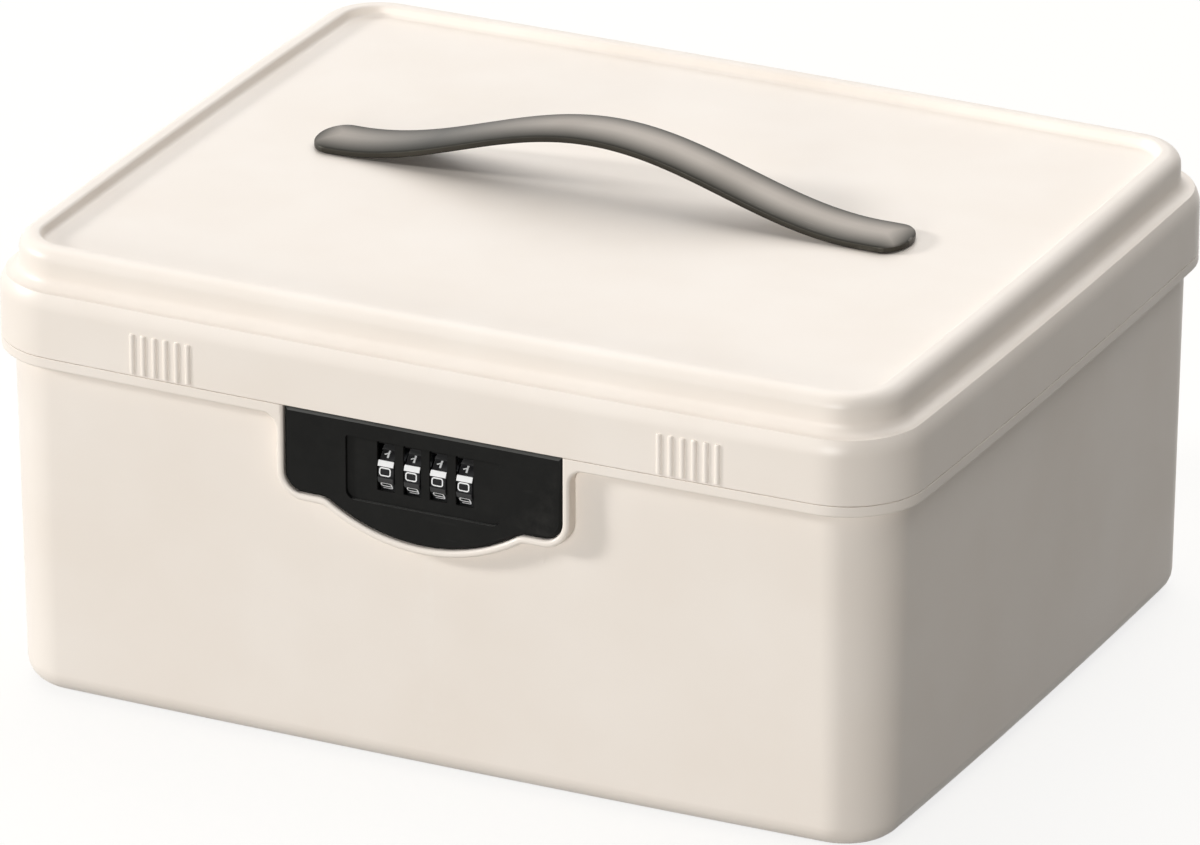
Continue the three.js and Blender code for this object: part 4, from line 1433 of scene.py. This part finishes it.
@dataclass
class LockFace:
    """The black fascia and the dial plate sunk in its window."""

    levels: Levels
    lock: LockPlan
    chamfer: float = 1.1
    depth: float = 0.8
    window_play: float = 0.3
    plate_play: float = 0.05
    post_places: Sequence[Point] = ((-41.0, 102.55), (41.0, 102.55))
    post_radius: float = 3.0
    pilot_radius: float = 1.4
    fascia_edge: Span = (0.14, 0.04)
    plate_edge: Span = (0.22, 0.07)
    window_corner: float = 0.35
    plate_wall: float = 1.4
    plate_skin: float = 1.0
    post_gap: float = 1.2
    post_weld: float = 0.5
    post_rounding: float = 0.2

    @staticmethod
    def _window(wide: Span, high: Span, corners: Span, span: Span, edge: Span,
                steps: int = 8) -> Body:
        """Returns the tool for a window with a broken front edge.

        Args:
            wide: Left and right of the window.
            high: Bottom and top of the window.
            corners: Radius of its lower and of its upper corners.
            span: The face that it is cut into, and where the tool ends.
            edge: Size of the broken edge, and how deep its middle lies.
            steps: How many straight pieces a corner has.

        Returns:
            The tool.
        """
        (face, end), (size, middle) = span, edge
        layers = [(face - PAST, size), (face, size), (face + middle, middle),
                  (face + size, 0.0), (end, 0.0)]
        return Body.stacked(Axis.Y, [(y, rounded_rectangle(wide, high, corners, grow, steps))
                                     for y, grow in layers])

    def fascia(self) -> Body:
        """Returns the fascia plate with its window and posts.

        Returns:
            The fascia, its upward faces and top chamfer in the second slot, a lighter black that
            paints a highlight on them.
        """
        lock, layers = self.lock, []
        for share in (1.0, 0.96, 0.04, 0.0):
            shrink = self.chamfer * share
            layers.append((lock.face + self.depth * max(1.0 - share - 0.02, 0.0),
                           lock.outline(-shrink, lock.top - shrink)))
        layers.append((lock.back, lock.outline(0.0, lock.top)))
        seat, half = self.levels.seat, lock.plate_width / 2.0
        low, high = lock.plate_high
        window = self._window((-half - seat, half + seat), (low - seat, high + seat),
                              lock.plate_corners, (lock.face, lock.back + PAST), self.fascia_edge)
        posts, pilots = (
            [Body.rod(Axis.Y, radius, span, place, rounding) for place in self.post_places]
            for radius, span, rounding in (
                (self.post_radius, (lock.back - self.post_weld, lock.pad_face - self.post_gap),
                 self.post_rounding),
                (self.pilot_radius, (lock.back - lock.thickness / 2.0, lock.pad_face), 0.0)))
        body = Body.stacked(Axis.Y, layers).add(*posts).cut(window, *pilots)
        # Upward faces and the top chamfer take the lighter black, a painted highlight.
        for face in body.mesh.faces:
            face.material_index = int(
                face.normal.z > 0.9 or face.normal.y < -0.1 and face.normal.z > 0.3
                and face.calc_center_median().z > lock.top - self.chamfer)
        return body

    def dial_plate(self) -> Body:
        """Returns the plate that the wheels look through.

        Returns:
            The plate.
        """
        lock, half, wall = self.lock, self.lock.plate_width / 2.0, self.plate_wall
        (low, high), (bottom, top), wide = lock.plate_high, lock.flange_high, lock.flange_half
        boss = Body.plate(
            rounded_rectangle((-half, half), (low, high), lock.plate_corners,
                              self.levels.seat - self.plate_play),
            Axis.Y, (lock.plate_face, lock.flange_face + self.post_weld))
        flange = Body.block((-wide, wide), (lock.flange_face, lock.pad_face - self.levels.seat),
                            (bottom, top))
        hollow = Body.block((wall - half, half - wall),
                            (lock.plate_face + self.plate_skin, lock.flange_face + wall),
                            (low + wall, high - wall))
        bed = Body.block((wall - wide, wide - wall),
                         (lock.flange_face + self.plate_skin, lock.pad_face),
                         (bottom + wall, top - wall))
        reach, axle = lock.wheel_width / 2.0 + self.window_play, lock.axle[1]
        windows = [
            self._window((x - reach, x + reach),
                         (axle - lock.window_below, axle + lock.window_above),
                         (self.window_corner, self.window_corner),
                         (lock.plate_face, lock.flange_face), self.plate_edge, 4)
            for x in lock.wheels]
        return boss.add(flange).cut(hollow, bed, windows[0].merged(*windows[1:]))

    def dress(self, finishes: FinishSet) -> None:
        """Builds both pieces and finishes them.

        Args:
            finishes: The materials of the object.
        """
        Piece("fascia", "tub", Slot.BLACK, ("lock_fascia",)).finish(
            self.fascia(), finishes.black, finishes.black_painted_highlight)
        Piece.of_node("dial_plate", "tub", Slot.BLACK).finish(self.dial_plate(), finishes.black)


@dataclass
class NumberWheel:
    """One number wheel, with its bars, digits, a painted highlight on one bar, and cam."""

    lock: LockPlan
    number: int
    bar_height: float = 0.6
    bar_angle: float = 12.0
    digits: int = 10
    phase: float = 4.5
    ridge: float = 0.06
    ridge_count: int = 13
    hub_radius: float = 4.9
    stroke: float = 0.22
    glyph_half: Point = (1.83, 1.27)
    glyph_shift: float = -0.3
    glyph_corner: float = 0.75
    glyph_step: float = 0.6
    glyph_relief: float = 0.3
    slope: float = 0.9
    brink_share: float = 0.75
    brink_angle: float = 0.4
    gap_steps: int = 6
    end_chamfer: Span = (0.25, 0.3)
    # Steps, radial reach and end margin of the painted highlight on the bar above the zero.
    highlight_steps: int = 6
    highlight_reach: Span = (-0.1, 0.02)
    highlight_margin: float = 0.03

    STROKES = {
        0: [((-1, -1), (1, -1), (1, 1), (-1, 1), (-1, -1))],
        1: [((0.05, 1.75), (0.05, -0.6)), ((0.19, 1.75), (0.19, -0.6)),
            ((-0.62, 0.2), (0.05, 0.62))],
        2: [((-1, 0.6), (-1, 1), (1, 1), (1, 0.1), (-1, -1), (1, -1))],
        3: [((-1, 1), (1, 1), (1, 0.1), (-0.3, 0.1)), ((1, 0.1), (1, -1), (-1, -1))],
        4: [((0.45, -1), (0.45, 1), (-1, -0.45), (1, -0.45))],
        5: [((1, 1), (-0.9, 1), (-0.9, 0.15), (1, 0.15), (1, -1), (-1, -1))],
        6: [((0.8, 1), (-1, 1), (-1, -1), (1, -1), (1, 0.1), (-1, 0.1))],
        7: [((-1, 1), (1, 1), (-0.2, -1))],
        8: [((-1, 0.05), (1, 0.05), (1, -1), (-1, -1), (-1, 0.05), (-0.85, 0.05), (-0.85, 1),
             (0.85, 1), (0.85, 0.05))],
        9: [((-0.8, -1), (1, -1), (1, 1), (-1, 1), (-1, -0.1), (1, -0.1))],
    }

    def __post_init__(self) -> None:
        """Works out the x of the middle, and the radius of the fields that carry the digits."""
        self.middle = self.lock.wheels[self.number - 1]
        self.field_radius = self.lock.wheel_radius - self.bar_height

    def at(self, elevation: float, radius: float, x: float) -> Vector:
        """Returns a point on the wheel, its elevation counted from the front, in degrees.

        Args:
            elevation: Degrees up from the front.
            radius: Distance from the axle.
            x: The place across the box.

        Returns:
            The point.
        """
        angle = math.radians(elevation)
        y, z = self.lock.axle
        return Vector((x, y - radius * math.cos(angle), z + radius * math.sin(angle)))

    def section(self, x: float, crest: float, shrink: float) -> list[Vector]:
        """Returns the wheel's outline at one place along its axle.

        Args:
            x: The place across the box.
            crest: Radius of the bars' tops.
            shrink: How much lower the fields lie.

        Returns:
            The points.
        """
        pitch, half, points = 360.0 / self.digits, self.bar_angle / 2.0, []
        low, slope = self.field_radius - shrink, self.slope
        brink = low + (crest - low) * self.brink_share
        inner = half - self.brink_angle
        bar_line = ((-half - slope, low), (-half, brink), (-inner, crest), (-half / 3.0, crest),
                    (half / 3.0, crest), (inner, crest), (half, brink), (half + slope, low))
        gap = pitch - 2.0 * (half + slope)
        gap_line = [(half + slope + gap * t / self.gap_steps, low)
                    for t in range(1, self.gap_steps)]
        for k in range(self.digits):
            bar = self.phase + (k + 0.5) * pitch
            points += [self.at(bar + offset, radius, x)
                       for offset, radius in (*bar_line, *gap_line)]
        return points

    def ring(self) -> Body:
        """Returns the wheel with its raised and finely ridged bars.

        Returns:
            The wheel, its bars' tops in the second slot.
        """
        left, right = (self.middle + end * self.lock.wheel_width / 2.0 for end in (-1, 1))
        crest, (inset, drop) = self.lock.wheel_radius, self.end_chamfer
        rings = [self.section(left, crest - drop, drop), self.section(left + inset, crest, 0.0)]
        span, count = right - left - 2.0 * inset, 2 * self.ridge_count
        rings += [self.section(left + inset + span * k / count,
                               crest - (self.ridge if k % 2 else 0.0), 0.0)
                  for k in range(1, count)]
        rings += [self.section(right - inset, crest, 0.0),
                  self.section(right, crest - drop, drop)]
        bore = Body.rod(Axis.X, self.hub_radius, (left - PAST, right + PAST), self.lock.axle)
        body = Body.loft(rings).cut(bore)
        y, z = self.lock.axle
        for face in body.mesh.faces:
            middle = face.calc_center_median()
            raised = math.hypot(middle.y - y, middle.z - z) > crest - 0.5 * self.bar_height
            face.material_index = int(raised and abs(face.normal.x) < 0.9)
        return body

    def glyph(self, digit: int) -> Body:
        """Returns one digit, drawn flat in strokes and wrapped round the wheel.

        Args:
            digit: The digit, 0 to 9.

        Returns:
            The digit's strokes.
        """
        curve = bpy.data.curves.new("glyph", "CURVE")
        curve.dimensions = "3D"
        curve.bevel_depth = self.stroke
        curve.bevel_resolution = 2
        curve.use_fill_caps = True
        for stroke in self.STROKES[digit]:
            places = [(a * self.glyph_half[0], b * self.glyph_half[1]) for a, b in stroke]
            loop = stroke[0] == stroke[-1]
            line = rounded(places[:-1] if loop else places,
                           [self.glyph_corner] * len(places), 5, closed=loop)
            fine = self._divided(line, loop)
            spline = curve.splines.new("POLY")
            spline.points.add(len(fine) - 1)
            spline.use_cyclic_u = loop
            for point, place in zip(spline.points, fine):
                point.co = (*place, 1.0)
        carrier = linked("glyph", curve)
        graph = bpy.context.evaluated_depsgraph_get()
        flat = bpy.data.meshes.new_from_object(carrier.evaluated_get(graph))
        work = bmesh.new()
        work.from_mesh(flat)
        bpy.data.meshes.remove(flat)
        bpy.data.curves.remove(curve)
        elevation = self.phase + digit * 360.0 / self.digits
        for vert in work.verts:
            a, b, h = vert.co
            turn = math.degrees(b / self.field_radius)
            vert.co = self.at(elevation + turn, self.field_radius + h * self.glyph_relief,
                              self.middle + self.glyph_shift + a)
        return Body(work).outward()

    def _divided(self, line: Sequence[Vector], loop: bool) -> list[Vector]:
        """Returns a line with points no further apart than a step.

        Args:
            line: The line's points.
            loop: Whether it is closed.

        Returns:
            The finer line.
        """
        ends = list(line) + ([line[0]] if loop else [])
        fine: list[Vector] = []
        for start, end in zip(ends, ends[1:]):
            count = max(1, math.ceil((end - start).length / self.glyph_step))
            fine += [start.lerp(end, t / count) for t in range(count)]
        return fine if loop else fine + [ends[-1]]

    def painted_highlight_bar(self) -> Body:
        """Returns the white coat on the bar above the zero, a painted highlight.

        Returns:
            The painted highlight.
        """
        bar, half = self.phase + 180.0 / self.digits, self.bar_angle / 2.0
        reach = self.lock.wheel_width / 2.0 - self.highlight_margin
        low, high = (self.lock.wheel_radius + depth for depth in self.highlight_reach)
        turns = [bar - half + 2.0 * half * t / self.highlight_steps
                 for t in range(self.highlight_steps + 1)]
        line = [(turn, high) for turn in turns] + [(turn, low) for turn in reversed(turns)]
        return Body.loft([[self.at(turn, radius, x) for turn, radius in line]
                          for x in (self.middle - reach, self.middle + reach)])

    def dress(self, finishes: FinishSet) -> None:
        """Builds the wheel, its digits with the painted highlight on one bar, and its cam.

        Args:
            finishes: The materials of the object.
        """
        body, cam = f"wheel_{self.number}", f"wheel_cam_{self.number}"
        Piece(f"{body}_ring", body, Slot.WHEEL, (f"number_ring_{self.number}",),
              sharp=42.0).finish(self.ring(), finishes.wheel, finishes.bar)
        # The digits' print and the painted highlight on the bar above the zero, in one white
        # material.
        marks = self.painted_highlight_bar().merged(*[self.glyph(k) for k in range(self.digits)])
        Piece(f"{body}_marks", body, Slot.WHEEL).finish(marks, finishes.paint)
        Piece.of_node(cam, body, Slot.ZINC, 0.15).finish(Body.of_node(cam), finishes.zinc)


@dataclass
class Screws:
    """Cross-head screws that hold the lock and the handle from inside."""

    small: Sequence[float] = (2.5, 1.6, 1.1)
    big: Sequence[float] = (3.5, 2.2, 1.8)
    cross: Span = (0.62, 0.14)
    cross_depth: float = 0.55

    def blank(self, head: float, height: float, shank: float, length: float) -> Body:
        """Returns a screw with its head's top at the origin and its tip along +Z.

        Args:
            head: The head's radius.
            height: The head's height.
            shank: The shank's radius.
            length: The length over all.

        Returns:
            The screw.
        """
        corners = [(0.0, 0.0), (0.0, head), (height, head), (height, shank),
                   (length - shank, shank), (length, 0.0)]
        line = rounded(corners, [0.0, 0.8 * height, 0.15, 0.1, 0.3, 0.0], 5)
        screw = Body.turned([(p.x, p.y) for p in line], Axis.Z, (0.0, 0.0), 32)
        for share, other in (self.cross, self.cross[::-1]):
            screw.cut(Body.block((-share * head, share * head), (-other * head, other * head),
                                 (-0.5, self.cross_depth * height)))
        return screw

    def dress(self, finishes: FinishSet) -> None:
        """Makes a dressed screw for each screw node, from its place in the frame.

        Args:
            finishes: The materials of the object.
        """
        for name in sorted(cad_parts):
            if "screw" not in name:
                continue
            low, high = (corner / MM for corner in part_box(name))
            middle = (low + high) / 2.0
            upright = name.startswith(("handle", "hook"))
            length = high.z - low.z if upright else high.y - low.y
            sizes = self.big if name.startswith("handle") else self.small
            place = Matrix.Translation((middle.x, middle.y, low.z))
            if not upright:
                place = (Matrix.Translation((middle.x, high.y, middle.z))
                         @ Matrix.Rotation(0.5 * math.pi, 4, "X"))
            Piece.of_node(name, "lid" if upright else "tub", Slot.STEEL).finish(
                self.blank(*sizes, length).moved(place), finishes.steel)


@dataclass
class LockWorks:
    """The housing, its cover and the small works behind the dial plate."""

    def dress(self, finishes: FinishSet) -> None:
        """Rounds the edges of each moulded or pressed piece.

        Args:
            finishes: The materials of the object.
        """
        moulded, pressed = (Slot.BLACK, finishes.works), (Slot.STEEL, finishes.steel)
        rows = (
            ("lock_housing", "tub", moulded, 0.25), ("lock_rear_cover", "tub", moulded, 0.3),
            ("lid_hook", "lid", moulded, 0.25), ("reset_slide", "reset", pressed, 0.3),
            ("detent_spring", "tub", pressed, 0.08), ("wheel_axle", "tub", pressed, 0.2),
            ("handle_washer_left", "lid", pressed, 0.2),
            ("handle_washer_right", "lid", pressed, 0.2))
        for name, body, (slot, material), bevel in rows:
            Piece.of_node(name, body, slot, bevel).finish(Body.of_node(name), material)


# Studio

@dataclass(frozen=True)
class Lamp:
    """A broad lamp far away."""

    name: str
    source: tuple[float, float, float]
    strength: float
    angle: float

    def build(self) -> None:
        """Adds the lamp to the scene."""
        data = bpy.data.lights.new(self.name, "SUN")
        data.energy = self.strength
        data.angle = math.radians(self.angle)
        lamp = linked(self.name, data)
        lamp.rotation_euler = Vector(self.source).to_track_quat("Z", "Y").to_euler()


@dataclass
class Studio:
    """The floor, the light and the camera."""

    camera_place: tuple[float, float, float] = (1600.7, -3300.0, 1619.1)
    camera_back: tuple[float, float, float] = (0.4025, -0.8289, 0.3884)
    focal_pixels: float = 12325.1
    image_width: float = 1200.0
    sensor: float = 36.0
    lamps: Sequence[Lamp] = (
        Lamp("left", (-0.88, -0.36, 0.31), 2.0, 9.0),
        Lamp("front", (0.03, -0.98, 0.12), 1.66, 14.0),
        Lamp("above", (-0.05, 0.46, 0.885), 2.2, 80.0))
    ambient: float = 0.085
    floor_half: float = 15.0
    floor_tone: tuple[float, float, float] = (0.23, 0.22, 0.2)
    floor_glow: float = 0.8

    def camera(self) -> None:
        """Sets the camera at the photograph's place."""
        data = bpy.data.cameras.new("camera")
        data.sensor_width = self.sensor
        data.sensor_fit = "HORIZONTAL"
        data.lens = self.focal_pixels / self.image_width * self.sensor
        data.clip_end = 100.0
        camera = linked("camera", data)
        turn = Vector(self.camera_back).to_track_quat("Z", "Y").to_matrix().to_4x4()
        camera.matrix_world = Matrix.Translation(Vector(self.camera_place) * MM) @ turn
        bpy.context.scene.camera = camera

    def world(self) -> None:
        """Lights the room evenly, and shows it white to the camera and in reflections."""
        world = bpy.data.worlds.new("room")
        bpy.context.scene.world = world
        graph = Graph.of(world)
        strength = graph.spread(graph.seen(), (0.0, 1.0), (self.ambient, 1.0))
        light = graph.add("ShaderNodeBackground", {"Color": tone(255, 255, 255),
                                                   "Strength": strength})
        graph.add("ShaderNodeOutputWorld", {"Surface": light.outputs["Background"]})

    def floor(self) -> None:
        """Lays a plain pale floor that keeps the object's shadow."""
        work = bmesh.new()
        bmesh.ops.create_grid(work, x_segments=1, y_segments=1, size=self.floor_half)
        bmesh.ops.translate(work, vec=(0.0, 0.0, -0.02 * MM), verts=work.verts)
        data = bpy.data.meshes.new("floor")
        work.to_mesh(data)
        work.free()
        material = bpy.data.materials.new("floor")
        graph = Graph.of(material)
        pale = graph.add("ShaderNodeBsdfDiffuse", {"Color": (*self.floor_tone, 1.0)})
        white = graph.add("ShaderNodeEmission", {
            "Color": tone(255, 255, 255),
            "Strength": graph.math("MULTIPLY", graph.seen(), self.floor_glow)})
        lit = graph.add("ShaderNodeAddShader", {
            0: pale.outputs["BSDF"], 1: white.outputs["Emission"]})
        graph.add("ShaderNodeOutputMaterial", {"Surface": lit.outputs["Shader"]})
        data.materials.append(material)
        linked("floor", data)

    def build(self) -> None:
        """Sets up the whole studio."""
        bpy.context.scene.view_settings.view_transform = "Standard"
        self.world()
        self.floor()
        for lamp in self.lamps:
            lamp.build()
        self.camera()


def main() -> None:
    """Builds the box around its frame, sub-assembly by sub-assembly."""
    logging.basicConfig(level=logging.INFO, format="%(name)s %(message)s")
    finishes = FinishSet()
    levels = Levels()
    lock = LockPlan(levels)
    hinges, strap = Hinges(levels), StrapHandle(levels)
    assemblies: list[Any] = [
        Tub(levels, lock, hinges), Lid(levels, hinges, strap), strap, hinges,
        LockFace(levels, lock), *[NumberWheel(lock, number) for number in range(1, 5)],
        Screws(), LockWorks()]
    for assembly in assemblies:
        LOG.info("building %s", type(assembly).__name__)
        assembly.dress(finishes)
    Studio().build()


if __name__ == "__main__":
    main()
